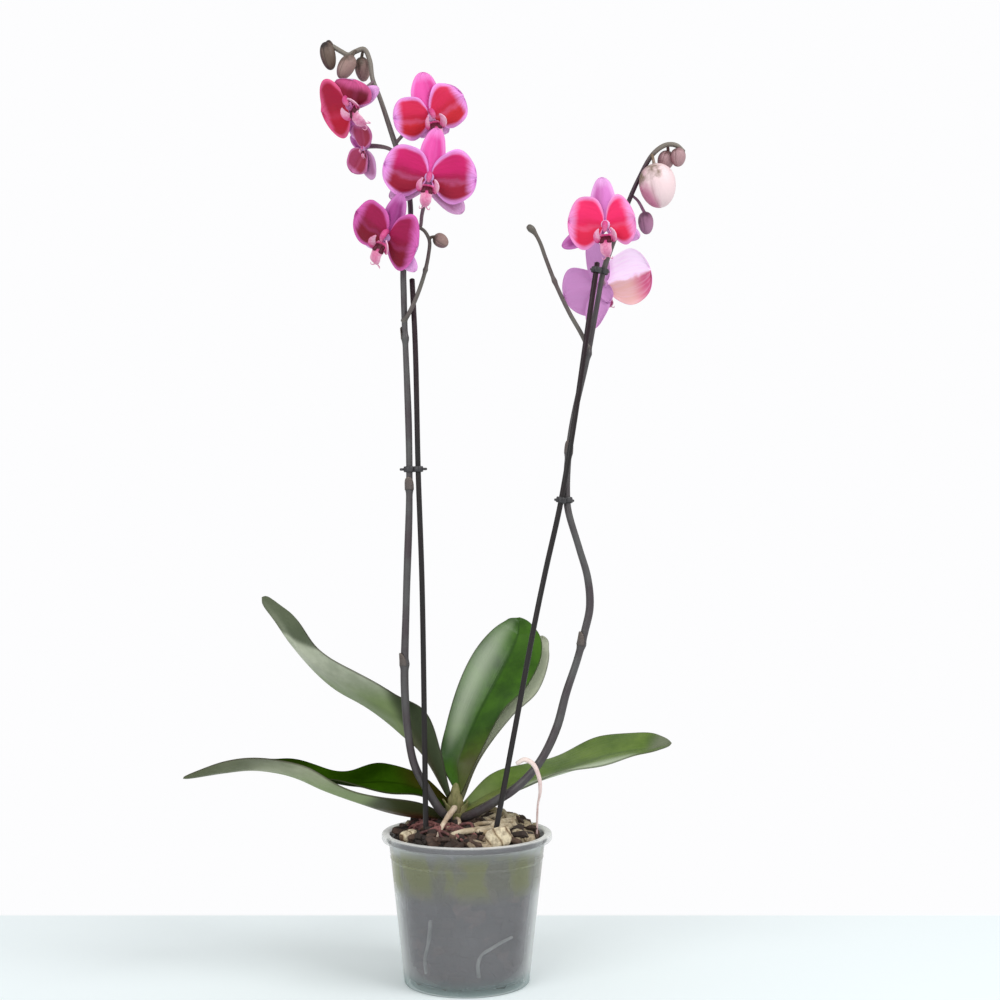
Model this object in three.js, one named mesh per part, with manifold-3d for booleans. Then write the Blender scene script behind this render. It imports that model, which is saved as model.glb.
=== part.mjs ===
// A moth orchid in a clear nursery pot: two staked flower spikes, seven open flowers,
// eight buds and six leaves. Millimetres, +Z up. The origin is on the table, under the
// middle of the pot, and the front of the plant looks along -Y.

import * as THREE from 'three';
import { mergeVertices } from 'three/addons/utils/BufferGeometryUtils.js';
import Module from 'manifold-3d';

const wasm = await Module();
wasm.setup();

// ---------------------------------------------------------------- driving dimensions

const GAP = 0.3;              // clearance where two separate pieces touch

const POT_HEIGHT = 105;
const RIM_RADIUS = 60;        // the flange hands and shelves hold the pot by
const RIM_DEPTH = 5;
const WALL_TOP_RADIUS = 55.5;
const BASE_RADIUS = 44;
const WALL = 1.4;
const FLOOR_UNDER = 3.5;      // the floor is raised on a foot ring and a middle pad
const FLOOR_TOP = 5;
const FOOT_WIDTH = 5;
const PAD_RADIUS = 11;
const COLLAR_DROP = 18;       // the moulded line below the rim
const COLLAR_PROUD = 0.5;
const DRAIN_HOLES = 8;
const DRAIN_RADIUS = 3.6;
const DRAIN_CIRCLE = 25;
const POT_SIDES = 36;

const MIX_MIDDLE = 111.5;     // height of the bark mix at the crown and at the wall
const MIX_EDGE = 103;
const MIX_LUMP = 1.6;
const MIX_RISE = 4;           // how much higher it is heaped at the back right

const CROWN = { x: -8, bottom: 92, top: 140, width: 8, narrow: 6.2, depth: 0.8 };

const LEAF_THICK = 2.2;
const LEAF_EDGE = 1.1;

const STAKE_RADIUS = 1.9;
const STAKE_FOOT = 22;        // how far above the table the stakes end in the mix

const CLIP = { wall: 1.7, play: 0.6, height: 4, tab: [3.4, 2.6, 1.6], bridge: [2.4, 3.2] };

const TEPAL_THICK = 1.2;
const TEPAL_FOOT = 2.2;       // half the width of a sepal or petal where it leaves the hub
const TEPAL_TIP = 0.7;
const HUB_RADIUS = 4;
const STALK_NECK = 9;         // the straight end of a flower's stalk, behind the flower

const COLOUR = {
  pot: 0xb9c0bd, bark: 0x4a3b33, chip: 0xb9a68c, root: 0xd8c3ae, crown: 0x9a8a5c,
  leaf: 0x2f5a28, stem: 0x4c4a48, stake: 0x2e2c30, clip: 0x3a3a3c,
  petal: 0xb5184f, sepal: 0xcf6fb4, lip: 0xe9a9c9, bud: 0xb08a92,
};

// ------------------------------------------------------------------ general helpers

const vector = ([x, y, z]) => new THREE.Vector3(x, y, z);
const { lerp, clamp, degToRad } = THREE.MathUtils;

// A smooth line through a few points.
function line(points) {
  return new THREE.CatmullRomCurve3(points.map(vector), false, 'centripetal');
}

// The outline of a turned piece, from pairs of radius and height.
const profile = (outline) => outline.map(([radius, z]) => new THREE.Vector2(radius, z));

function toSolid(geometry) {
  const bare = geometry.clone();
  bare.deleteAttribute('normal');
  bare.deleteAttribute('uv');
  const merged = mergeVertices(bare, 1e-4);
  return new wasm.Manifold(new wasm.Mesh({
    numProp: 3,
    vertProperties: merged.attributes.position.array,
    triVerts: Uint32Array.from(merged.index.array),
  }));
}

function toGeometry(solid) {
  const mesh = solid.getMesh();
  const geometry = new THREE.BufferGeometry();
  geometry.setAttribute('position', new THREE.BufferAttribute(mesh.vertProperties, 3));
  geometry.setIndex(new THREE.BufferAttribute(mesh.triVerts, 1));
  geometry.computeVertexNormals();
  return geometry;
}

function join(...geometries) {
  const [first, ...rest] = geometries.map(toSolid);
  return toGeometry(rest.reduce((sum, solid) => sum.add(solid), first));
}

function cut(geometry, ...tools) {
  const whole = toSolid(geometry);
  return toGeometry(tools.map(toSolid).reduce((left, tool) => left.subtract(tool), whole));
}

// A closed sheet. place(u, v) gives its middle surface for u and v from 0 to 1, and
// thickness(u, v) is laid half on either side of it.
function sheet(place, thickness, stepsAlong, stepsAcross) {
  const box = new THREE.BoxGeometry(1, 1, 1, stepsAlong, stepsAcross, 1);
  const position = box.attributes.position;
  const small = 0.01;
  for (let i = 0; i < position.count; i++) {
    const u = position.getX(i) + 0.5;
    const v = position.getY(i) + 0.5;
    const along = place(Math.min(u + small, 1), v).sub(place(Math.max(u - small, 0), v));
    const across = place(u, Math.min(v + small, 1)).sub(place(u, Math.max(v - small, 0)));
    const normal = along.cross(across).normalize();
    const point = place(u, v).addScaledVector(normal, position.getZ(i) * thickness(u, v));
    position.setXYZ(i, point.x, point.y, point.z);
  }
  box.computeVertexNormals();
  return box;
}

// A round stem along a line, with a radius for each place along it.
function stem(curve, radius, sides, steps) {
  const tube = new THREE.CylinderGeometry(1, 1, 1, sides, steps);
  const frames = curve.computeFrenetFrames(steps);
  const position = tube.attributes.position;
  for (let i = 0; i < position.count; i++) {
    const t = clamp(position.getY(i) + 0.5, 0, 1);
    const station = Math.round(t * steps);
    const point = curve.getPointAt(t);
    point.addScaledVector(frames.normals[station], position.getX(i) * radius(t));
    point.addScaledVector(frames.binormals[station], -position.getZ(i) * radius(t));
    position.setXYZ(i, point.x, point.y, point.z);
  }
  tube.computeVertexNormals();
  return tube;
}

function ball(radiusX, radiusY, radiusZ, around = 7, rings = 4) {
  return new THREE.SphereGeometry(1, around, rings).scale(radiusX, radiusY, radiusZ);
}

const plant = new THREE.Group();

function add(name, geometry, colour, roughness = 0.6, parent = plant) {
  const material = new THREE.MeshStandardMaterial({ color: colour, roughness, metalness: 0 });
  const mesh = new THREE.Mesh(geometry, material);
  mesh.name = name;
  parent.add(mesh);
  return mesh;
}

// ------------------------------------------------------------------------- the pot

// The outer and inner radius of the tapered wall at a height.
const wallRadius = (z) => lerp(BASE_RADIUS, WALL_TOP_RADIUS, z / POT_HEIGHT);
const innerRadius = (z) => wallRadius(z) - WALL;

function potGeometry() {
  const rimUnder = POT_HEIGHT - RIM_DEPTH;
  const collar = POT_HEIGHT - COLLAR_DROP;
  const outline = [
    [0, 0], [PAD_RADIUS, 0], [PAD_RADIUS + 1, FLOOR_UNDER],
    [BASE_RADIUS - FOOT_WIDTH - 1, FLOOR_UNDER], [BASE_RADIUS - FOOT_WIDTH, 0],
    [BASE_RADIUS - 0.8, 0], [wallRadius(1), 1],
    [wallRadius(collar), collar], [wallRadius(collar) + COLLAR_PROUD, collar + 1],
    [wallRadius(rimUnder) + COLLAR_PROUD, rimUnder - 1], [RIM_RADIUS - 1, rimUnder],
    [RIM_RADIUS, rimUnder + 1], [RIM_RADIUS, POT_HEIGHT - 1], [RIM_RADIUS - 1, POT_HEIGHT],
    [innerRadius(POT_HEIGHT) + 1, POT_HEIGHT], [innerRadius(POT_HEIGHT - 1), POT_HEIGHT - 1],
    [innerRadius(FLOOR_TOP + 1), FLOOR_TOP + 1], [innerRadius(FLOOR_TOP) - 1, FLOOR_TOP],
    [0, FLOOR_TOP],
  ];
  const lathe = new THREE.LatheGeometry(profile(outline), POT_SIDES);
  const holes = [];
  for (let i = 0; i < DRAIN_HOLES; i++) {
    const angle = (i + 0.5) / DRAIN_HOLES * 2 * Math.PI;
    const hole = new THREE.CylinderGeometry(DRAIN_RADIUS, DRAIN_RADIUS, 4 * FLOOR_TOP, 8);
    hole.translate(DRAIN_CIRCLE * Math.cos(angle), 0, DRAIN_CIRCLE * Math.sin(angle));
    holes.push(hole);
  }
  return cut(lathe, ...holes).rotateX(Math.PI / 2);
}

// ---------------------------------------------------------------------- crown, roots

// The short stem that every leaf, spike and root grows from. extra makes it fatter, as
// the tool that fits the other pieces round it.
function crownGeometry(extra) {
  const { x, bottom, top, width, narrow, depth } = CROWN;
  const outline = [
    [0, bottom - extra], [width - 1 + extra, bottom - extra], [width + extra, 108],
    [width - 0.5 + extra, 122], [narrow + extra, top - 3], [narrow - 2 + extra, top + extra],
    [0, top + extra],
  ];
  const lathe = new THREE.LatheGeometry(profile(outline), 12);
  return lathe.rotateX(Math.PI / 2).scale(1, (width * depth + extra) / (width + extra), 1)
    .translate(x, 0, 0);
}

const crownTool = crownGeometry(GAP);
const offCrown = (geometry) => cut(geometry, crownTool);

const ROOTS = {
  root_loop: {
    radius: 1.3,
    route: [[48, -8, 92], [49, -10, 106], [49.5, -21, 127], [51, -29, 139], [50, -33.5, 149],
      [46, -34.5, 158], [40, -34, 161], [35, -32, 158]],
  },
  root_front: {
    radius: 2,
    route: [[-8, -2, 123], [-10.5, -11, 121], [-15, -20, 116], [-18, -27, 111], [-20, -31, 102]],
  },
  root_second: {
    radius: 1.3,
    route: [[-9, -2, 115], [-6, -10, 115.5], [-5, -18, 114], [-8, -26, 110.5], [-13, -33, 102]],
  },
};

function rootGeometry({ route, radius }, extra = 0) {
  return stem(line(route), () => radius + extra, 6, 10);
}

// -------------------------------------------------------------------- bark and mix

const CHIPS = {
  bark_chip_front: { at: [22, -43, 109], size: [15, 7, 12], turn: 12, tilt: 8 },
  bark_chip_right: { at: [37, -24, 106], size: [13, 8, 9], turn: -38, tilt: -14 },
  bark_chip_left: { at: [-40, -20, 106], size: [13, 8, 8], turn: 40, tilt: 10 },
};

// A flake of bark: a box with its corners pulled in unevenly.
function chipGeometry({ at, size, turn, tilt }, extra = 0) {
  const box = new THREE.BoxGeometry(1, 1, 1, 2, 1, 2);
  const position = box.attributes.position;
  for (let i = 0; i < position.count; i++) {
    const [x, y, z] = [position.getX(i), position.getY(i), position.getZ(i)];
    const pull = 1 - 0.25 * Math.abs(Math.sin(5 * x + 3 * y + 7 * z));
    const [wide, deep, tall] = size.map((side) => side + extra);
    position.setXYZ(i, x * pull * wide, y * deep, z * pull * tall);
  }
  return box.rotateY(degToRad(tilt)).rotateZ(degToRad(turn)).translate(...at);
}

function mixGeometry(stakes) {
  const bottom = FLOOR_TOP + GAP;
  const skirt = (z) => innerRadius(z) - GAP;
  const topRings = [0.86, 0.66, 0.46, 0.26];
  const outline = [[0, bottom], [skirt(bottom) - 2, bottom], [skirt(bottom + 2), bottom + 2],
    [skirt(MIX_EDGE), MIX_EDGE]];
  for (const share of topRings) {
    const z = lerp(MIX_MIDDLE, MIX_EDGE, share ** 2);
    outline.push([share * skirt(MIX_EDGE), z]);
  }
  outline.push([0, MIX_MIDDLE]);
  const heap = new THREE.LatheGeometry(profile(outline), POT_SIDES / 2);
  heap.rotateX(Math.PI / 2);
  const position = heap.attributes.position;
  for (let i = 0; i < position.count; i++) {
    const [x, y, z] = [position.getX(i), position.getY(i), position.getZ(i)];
    if (z > MIX_EDGE + 0.1) {
      const broad = Math.sin(0.31 * x + 1.3) * Math.cos(0.27 * y - 0.4);
      const fine = 0.5 * Math.sin(0.7 * x - 0.5 * y);
      const towardsBackRight = clamp((x + y) / BASE_RADIUS, 0, 1);
      position.setZ(i, z + MIX_LUMP * (broad + fine) + MIX_RISE * towardsBackRight);
    }
  }
  const chips = Object.values(CHIPS).map((chip) => chipGeometry(chip, 2 * GAP));
  const roots = Object.values(ROOTS).map((root) => rootGeometry(root, GAP));
  const holes = stakes.map((stake) => stakeGeometry(stake, GAP));
  return cut(heap, crownTool, ...chips, ...roots, ...holes, ...Object.values(spikeTool));
}

// ------------------------------------------------------------------------- leaves

// Each leaf is drawn by its two edges, from the crown to the tip, at matching stations:
// left and right are as seen from its upper side. channel is how far its midrib is folded
// down between them.
const LEAVES = {
  leaf_lowest_left: {
    channel: 3,
    left: [[-12, -1, 114], [-29, -9, 125], [-60, -24, 134], [-87, -32, 143], [-113, -37, 157],
      [-139, -38, 163], [-163, -34, 155], [-195, -28, 148]],
    right: [[-12, 3, 112.5], [-30, 8, 113], [-67, 15, 117], [-107, 17, 126], [-131, 14, 139],
      [-151, 6, 145], [-171, -10, 148], [-195, -27, 147]],
  },
  leaf_low_left: {
    channel: 5,
    left: [[-12, -3, 121], [-31, -8, 131], [-54, -10, 135], [-81, -6, 139], [-107, 8, 143],
      [-131, 26, 146], [-150, 40, 147]],
    right: [[-12, 3, 126], [-35, 16, 144], [-61, 28, 148], [-87, 38, 146], [-112, 44, 148],
      [-134, 45, 151], [-151, 42, 149]],
  },
  leaf_rising_left: {
    channel: 5,
    right: [[-13, 3, 128], [-34, 10, 160], [-49, 15, 172], [-73, 22, 186], [-97, 30, 200],
      [-118, 26, 221], [-133, 10, 246], [-147, 14, 268]],
    left: [[-12, -3, 133], [-19, -5, 163], [-30, -7, 192], [-52, -8, 206], [-80, -14, 225],
      [-105, -4, 238], [-126, 12, 258], [-146, 16, 270]],
  },
  leaf_upright_front: {
    channel: 7,
    left: [[-8, 1, 132], [-18, -3, 156], [-15, 19, 180], [-4, 42, 212], [9, 60, 234],
      [23, 76, 246], [37, 88, 250]],
    right: [[-4, -2, 132], [8, 3, 157], [25, 22, 187], [42, 40, 202], [54, 58, 224],
      [52, 74, 240], [39, 88, 250]],
  },
  leaf_upright_back: {
    channel: 6,
    left: [[-7, 3, 128], [-5, 20, 152], [10, 40, 185], [27, 60, 209], [41, 78, 230],
      [54, 90, 236]],
    right: [[-3, 2, 127], [9, 14, 155], [32, 34, 182], [52, 53, 200], [60, 70, 223],
      [56, 88, 236]],
  },
  leaf_right: {
    channel: 6,
    right: [[-3, -3, 118], [21, -10, 131], [44, -16, 141], [68, -20, 150], [94, -20, 156],
      [115, -14, 160], [132, -6, 163], [144, 1, 167]],
    left: [[-4, 3, 124], [16, 16, 142], [41, 27, 149], [68, 33, 155], [96, 33, 167],
      [119, 26, 172], [134, 14, 172], [144, 3, 168]],
  },
};

function leafGeometry({ left, right, channel }) {
  const [leftEdge, rightEdge] = [line(left), line(right)];
  const place = (u, v) => {
    const [a, b] = [rightEdge.getPoint(u), leftEdge.getPoint(u)];
    const along = rightEdge.getTangent(u).add(leftEdge.getTangent(u));
    const across = b.clone().sub(a);
    const below = across.clone().cross(along).normalize();
    const fold = channel * Math.min(1, across.length() / 30) * (1 - Math.abs(2 * v - 1));
    return a.lerp(b, v).addScaledVector(below, fold);
  };
  const thickness = (u, v) => lerp(LEAF_EDGE, LEAF_THICK, Math.sin(Math.PI * v));
  return offCrown(sheet(place, thickness, 12, 4));
}

// -------------------------------------------------------------- spikes and stakes

const SPIKES = {
  left: {
    foot: 3, head: 1.6, nodes: [0.21, 0.42, 0.6],
    route: [[-10, -2, 114], [-17, -9, 120], [-23, -12, 129], [-28, -14, 138], [-35, -15, 151],
      [-39, -15, 165], [-43, -15, 205], [-42, -15, 269], [-40, -13.5, 339], [-40.5, -11.5, 388],
      [-44, -9.5, 479], [-44, -9, 506], [-40, -9, 527], [-39.5, -9, 546], [-43, -9, 567],
      [-51, -9, 591], [-61, -9, 621], [-66, -9, 634], [-68, -8, 647], [-72, -8, 654.5],
      [-78, -8, 655], [-85, -8, 654], [-93, -8, 657]],
  },
  right: {
    foot: 3.2, head: 1.8, nodes: [0.3, 0.55, 0.68],
    route: [[-3, -3, 115], [5, -13, 120], [14, -20, 126], [22, -25, 132], [30, -26, 137],
      [38, -26, 143.5], [47, -26, 153], [55, -25, 165], [63, -24, 183], [69, -23, 205],
      [77, -22, 229], [82, -22, 248], [85.5, -22, 265], [84, -22, 285], [78, -22, 306],
      [70.5, -21.5, 332], [69.5, -19.5, 346], [71, -15, 371], [74, -13, 393], [84, -12, 438],
      [90, -10, 469], [96, -9, 500], [103, -8, 521], [111, -8, 542], [120, -8, 563],
      [131, -8, 582], [140, -8, 588], [147, -8, 587.5], [152, -8, 583]],
  },
};

for (const spike of Object.values(SPIKES)) {
  spike.curve = line(spike.route);
  spike.curve.arcLengthDivisions = 600;
}

function spikeGeometry({ curve, foot, head, nodes }, extra = 0) {
  const radius = (t) => lerp(foot, head, t) + extra;
  const collars = nodes.map((at) => {
    const stretch = [at - 0.004, at, at + 0.004].map((share) => curve.getPointAt(share).toArray());
    return stem(line(stretch), (t) => radius(at) + 0.8 - 0.4 * t, 7, 1);
  });
  return join(stem(curve, radius, 7, 52), ...collars);
}

// The place on a stem's middle line nearest to a point, where a side stalk starts.
function nearestOn(curve, point) {
  const stations = curve.getSpacedPoints(600);
  const target = vector(point);
  return stations.reduce((best, station) => (
    station.distanceTo(target) < best.distanceTo(target) ? station : best)).clone();
}

const spikeTool = {};
for (const [side, spike] of Object.entries(SPIKES)) {
  spikeTool[side] = spikeGeometry(spike, GAP);
}

// The slim side shoots below the flowers, from a node of their spike.
const BRANCHES = {
  left: {
    foot: 1.6, head: 1.2, knob: 0,
    route: [[-44, -9.5, 464], [-41, -13, 468], [-36, -14, 478], [-30, -13, 495],
      [-26.5, -13, 511], [-26, -13, 520], [-29, -15, 526]],
  },
  right: {
    foot: 1.6, head: 1.3, knob: 2.6,
    route: [[85, -12, 445], [80, -14, 455], [72, -14, 469], [62, -14, 490], [55, -14, 508],
      [51, -14, 519], [47, -14, 526], [43, -14, 530]],
  },
};

const STAKES = {
  left: [[-25, -23, STAKE_FOOT], [-28, -21, 110], [-29, -20, 172], [-31, -17, 283],
    [-33.8, -13.5, 360], [-36, -10, 447], [-38.5, -5, 494]],
  right: [[3, -37, STAKE_FOOT], [20, -34, 110], [34, -31, 184], [47, -28, 253],
    [55, -25, 291], [65, -25, 336], [75, -23, 395], [83, -20, 450], [91, -16, 504]],
};

function stakeGeometry(route, extra = 0) {
  return stem(line(route), () => STAKE_RADIUS + extra, 8, 9);
}

// A moulded clip: one ring round the spike, one round the stake and a finger tab on each.
// height is where it sits; it leans as the spike does there.
const CLIPS = {
  clip_left: { side: 'left', height: 360 },
  clip_right_lower: { side: 'right', height: 339 },
  clip_right_upper: { side: 'right', height: 499 },
};

// The point of a curve at a height, found by halving.
function atHeight(curve, height, from = 0, to = 1) {
  let [low, high] = [from, to];
  for (let i = 0; i < 30; i++) {
    const middle = (low + high) / 2;
    if (curve.getPointAt(middle).z < height) low = middle;
    else high = middle;
  }
  return (low + high) / 2;
}

function clipGeometry({ side, height }) {
  const spike = SPIKES[side];
  const stakeCurve = line(STAKES[side]);
  const spikeAt = atHeight(spike.curve, height, 0.1, 0.9);
  const stakeAt = atHeight(stakeCurve, height);
  const rings = [
    { centre: spike.curve.getPointAt(spikeAt), radius: lerp(spike.foot, spike.head, spikeAt),
      axis: spike.curve.getTangentAt(spikeAt) },
    { centre: stakeCurve.getPointAt(stakeAt), radius: STAKE_RADIUS,
      axis: stakeCurve.getTangentAt(stakeAt) },
  ];
  const apart = rings[1].centre.clone().sub(rings[0].centre);
  const turnTo = (from, to) => new THREE.Quaternion().setFromUnitVectors(vector(from), to);
  const collar = ({ centre, axis, radius }, wall, height) => (
    new THREE.CylinderGeometry(radius + wall, radius + wall, height, 9)
      .applyQuaternion(turnTo([0, 1, 0], axis)).translate(...centre.toArray()));
  const bodies = rings.map((ring) => collar(ring, CLIP.wall, CLIP.height));
  const bores = rings.map((ring) => collar(ring, CLIP.play, 3 * CLIP.height));
  const tabs = rings.map((ring, i) => {
    const outwards = apart.clone().setLength((ring.radius + 2.6) * (i === 0 ? -1 : 1));
    return new THREE.BoxGeometry(...CLIP.tab).rotateZ(Math.atan2(apart.y, apart.x))
      .translate(...ring.centre.clone().add(outwards).toArray());
  });
  const between = rings[0].centre.clone().addScaledVector(apart, 0.5);
  const bridge = new THREE.BoxGeometry(apart.length(), ...CLIP.bridge)
    .applyQuaternion(turnTo([1, 0, 0], apart.clone().normalize())).translate(...between.toArray());
  return cut(join(...bodies, ...tabs, bridge), ...bores);
}

// ------------------------------------------------------------------------ flowers

// A flower is built facing +Z with its top at +Y, in layers from the back: sepals,
// petals, then the lip with the column. A tepal is a blade that leaves the hub in one
// direction. bulge is the share of its length at which it is widest.
function tepalGeometry({ direction, length, width, level, lean, bulge, start, steps }) {
  const out = new THREE.Vector3(Math.cos(direction), Math.sin(direction), 0);
  const across = new THREE.Vector3(-out.y, out.x, 0);
  const place = (u, v) => {
    const reach = (1 - Math.cos(Math.PI * u)) / 2;
    const bend = reach ** (Math.log(0.5) / Math.log(bulge));
    const half = 0.5 * width * Math.sqrt(4 * bend * (1 - bend)) + lerp(TEPAL_FOOT, TEPAL_TIP, reach);
    return out.clone().multiplyScalar(start + reach * length * Math.cos(lean))
      .addScaledVector(across, half * (2 * v - 1))
      .add(new THREE.Vector3(0, 0, level + reach * length * Math.sin(lean)));
  };
  return sheet(place, () => TEPAL_THICK, ...steps);
}

function hubGeometry(level) {
  return new THREE.CylinderGeometry(HUB_RADIUS, HUB_RADIUS, TEPAL_THICK, 8)
    .rotateX(Math.PI / 2).translate(0, 0, level);
}

const SEPAL_LEVEL = TEPAL_THICK / 2;
const PETAL_LEVEL = SEPAL_LEVEL + TEPAL_THICK + GAP;
const LIP_LEVEL = PETAL_LEVEL + TEPAL_THICK / 2 + GAP;

// Three sepals or two petals on one hub. A flower may have directions or sizes of its own.
function tepalsGeometry(common, own) {
  const { directions, ...shape } = { ...common, ...own };
  const blades = directions.map((degrees) => (
    tepalGeometry({ ...shape, direction: degToRad(degrees) })));
  return join(hubGeometry(shape.level), ...blades);
}

const SEPALS = {
  level: SEPAL_LEVEL, directions: [90, 216, 324], lean: degToRad(-9), bulge: 0.48,
  start: 1.5, length: 31, width: 14, steps: [4, 2],
};
const PETALS = {
  level: PETAL_LEVEL, directions: [12, 168], lean: degToRad(4), bulge: 0.55,
  start: 1.5, length: 29, width: 31, steps: [5, 3],
};

// The column in the middle, and the lip's long middle lobe and two upright side lobes.
function lipGeometry() {
  const column = ball(2.8, 2.8, 4.4).translate(0, 1.2, LIP_LEVEL + 4.4);
  const base = ball(3.4, 3, 3).translate(0, -2.4, LIP_LEVEL + 3);
  const ridge = line([[0, -2.5, 5.5], [0, -8, 10.5], [0, -15, 11.5], [0, -22, 8]]);
  const middle = sheet((u, v) => {
    const half = 1.2 + 4.2 * Math.sin(Math.PI * Math.min(1, u * 1.15)) ** 0.8;
    return ridge.getPoint(u).add(new THREE.Vector3(half * (2 * v - 1), 0, 0));
  }, () => 1.5, 4, 2);
  const lobes = [-1, 1].map((side) => {
    const spine = line([[side * 1.5, -3, 5], [side * 5.5, -2.5, 9], [side * 7, -0.5, 13]]);
    return sheet((u, v) => {
      const half = 2 + 2.6 * Math.sin(Math.PI * u * 0.8);
      return spine.getPoint(u).add(new THREE.Vector3(0, half * (2 * v - 1), 0));
    }, () => 1.3, 2, 1);
  });
  return join(base, column, middle, ...lobes);
}

// from is the place on the spike where the flower's stalk starts, and at is the middle
// of its back. yaw turns its face to the right, pitch lifts it and roll leans its top
// to the left, all as the front view shows them. via is where the stalk bends, if it does,
// and sepals and petals hold what differs from the usual ones.
const FLOWERS = {
  left_flower_1: {
    side: 'left', from: [-42, -9, 520], at: [-53.5, -32, 520],
    yaw: -32, pitch: -20, roll: -30, scale: 0.95,
  },
  left_flower_2: {
    side: 'left', from: [-38, -9, 531], via: [[-33, -12, 529], [-31, -16, 538]],
    at: [-25, -36, 560], yaw: 0, pitch: -12, roll: -9, scale: 1,
  },
  left_flower_3: {
    side: 'left', from: [-46, -9, 577], at: [-69, -6, 584],
    yaw: -62, pitch: -42, roll: -30, scale: 0.68,
  },
  left_flower_4: {
    side: 'left', from: [-50, -9, 589], at: [-25, -22, 604],
    yaw: 20, pitch: -8, roll: 14, scale: 0.9,
  },
  left_flower_5: {
    side: 'left', from: [-66, -9, 631], at: [-80, -22, 615],
    yaw: -38, pitch: -26, roll: 36, scale: 0.94,
  },
  right_flower_1: {
    side: 'right', from: [104, -8, 524], at: [97, 12, 493],
    yaw: 170, pitch: -16, roll: -16, scale: 1.04, sepals: { directions: [90, 240, 300] },
  },
  right_flower_2: {
    side: 'right', from: [113, -8, 546], at: [96, -34, 528],
    yaw: -14, pitch: -12, roll: 4, scale: 0.96,
    sepals: { directions: [92, 206, 332] }, petals: { length: 24 },
  },
};

// The turn that carries +Z to the way the flower faces and +Y to its top.
function flowerTurn({ yaw, pitch, roll }) {
  const [y, p, r] = [yaw, pitch, roll].map(degToRad);
  const face = new THREE.Vector3(Math.sin(y) * Math.cos(p), -Math.cos(y) * Math.cos(p), Math.sin(p));
  const side = new THREE.Vector3(Math.cos(y), Math.sin(y), 0);
  const top = face.clone().cross(side);
  const turn = new THREE.Matrix4().makeBasis(side, top, face);
  return turn.multiply(new THREE.Matrix4().makeRotationZ(r));
}

// The stalk runs from its spike, out and forward, and into the back of the flower.
function flowerStalk({ side, from, at, via, scale }, face) {
  const start = nearestOn(SPIKES[side].curve, from);
  const end = vector(at).addScaledVector(face, -GAP);
  const neck = end.clone().addScaledVector(face, -STALK_NECK * scale);
  const bow = start.clone().lerp(neck, 0.5).add(new THREE.Vector3(0, 0, 2.5));
  const bends = via ?? [bow.toArray()];
  const route = line([start.toArray(), ...bends, neck.toArray(), end.toArray()]);
  return cut(stem(route, (t) => lerp(1.3, 2, t), 6, 4 + 2 * bends.length), spikeTool[side]);
}

// --------------------------------------------------------------------------- buds

// size is the bud's length and its thickness; it hangs along lean, at the end of a
// stalk from its spike or branch.
const BUDS = {
  left_bud_tip: {
    side: 'left', from: [-92, -8, 656.5], at: [-98, -9, 649], lean: [-0.1, 0, -1], size: [19, 12],
  },
  left_bud_second: {
    side: 'left', from: [-79, -8, 655], at: [-85, -14, 643], lean: [-0.5, -0.2, -1], size: [15, 9],
  },
  left_bud_third: {
    side: 'left', from: [-71, -8, 653], at: [-72, 0, 641], lean: [0.2, 0.4, -1], size: [12, 7],
  },
  left_bud_branch: {
    side: 'branch', from: [-26, -13, 519], at: [-18, -13, 520], lean: [0.7, 0, -0.5],
    size: [11.5, 10],
  },
  right_bud_large: {
    side: 'right', from: [130, -8, 580], at: [135, -12, 558.6], lean: [0.12, 0, -1], size: [31, 27],
  },
  right_bud_second: {
    side: 'right', from: [138, -8, 587], at: [137, 3, 576], lean: [-0.4, 0.4, -0.8], size: [11, 8],
  },
  right_bud_tip: {
    side: 'right', from: [151, -8, 584], at: [151, -8, 578], lean: [0.1, 0, -1], size: [12, 10],
  },
  right_bud_middle: {
    side: 'right', from: [116, -8, 553], at: [123, -3, 533], lean: [0.1, 0, -1], size: [15, 10],
  },
};

function branchGeometry({ route, foot, head, knob }, extra = 0) {
  const shoot = stem(line(route), (t) => lerp(foot, head, t) + extra, 6, 9);
  return knob ? join(shoot, ball(knob, knob, 1.2 * knob).translate(...route.at(-1))) : shoot;
}

const carriers = {
  left: SPIKES.left.curve, right: SPIKES.right.curve, branch: line(BRANCHES.left.route),
};
const carrierTool = { ...spikeTool, branch: branchGeometry(BRANCHES.left, GAP) };

function budGeometry({ side, from, at, lean, size }) {
  const [length, thick] = size;
  const down = vector(lean).normalize();
  const egg = ball(thick / 2, length / 2, thick / 2, 8, 5);
  egg.applyQuaternion(new THREE.Quaternion().setFromUnitVectors(new THREE.Vector3(0, 1, 0), down));
  egg.translate(...at);
  const shoulder = vector(at).addScaledVector(down, -0.42 * length);
  const start = nearestOn(carriers[side], from);
  const bow = start.clone().lerp(shoulder, 0.5).addScaledVector(down, -0.15 * length);
  const stalk = stem(line([start, bow, shoulder].map((point) => point.toArray())), () => 1, 5, 3);
  return cut(join(egg, stalk), carrierTool[side]);
}

// ----------------------------------------------------------------------- assembly

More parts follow.
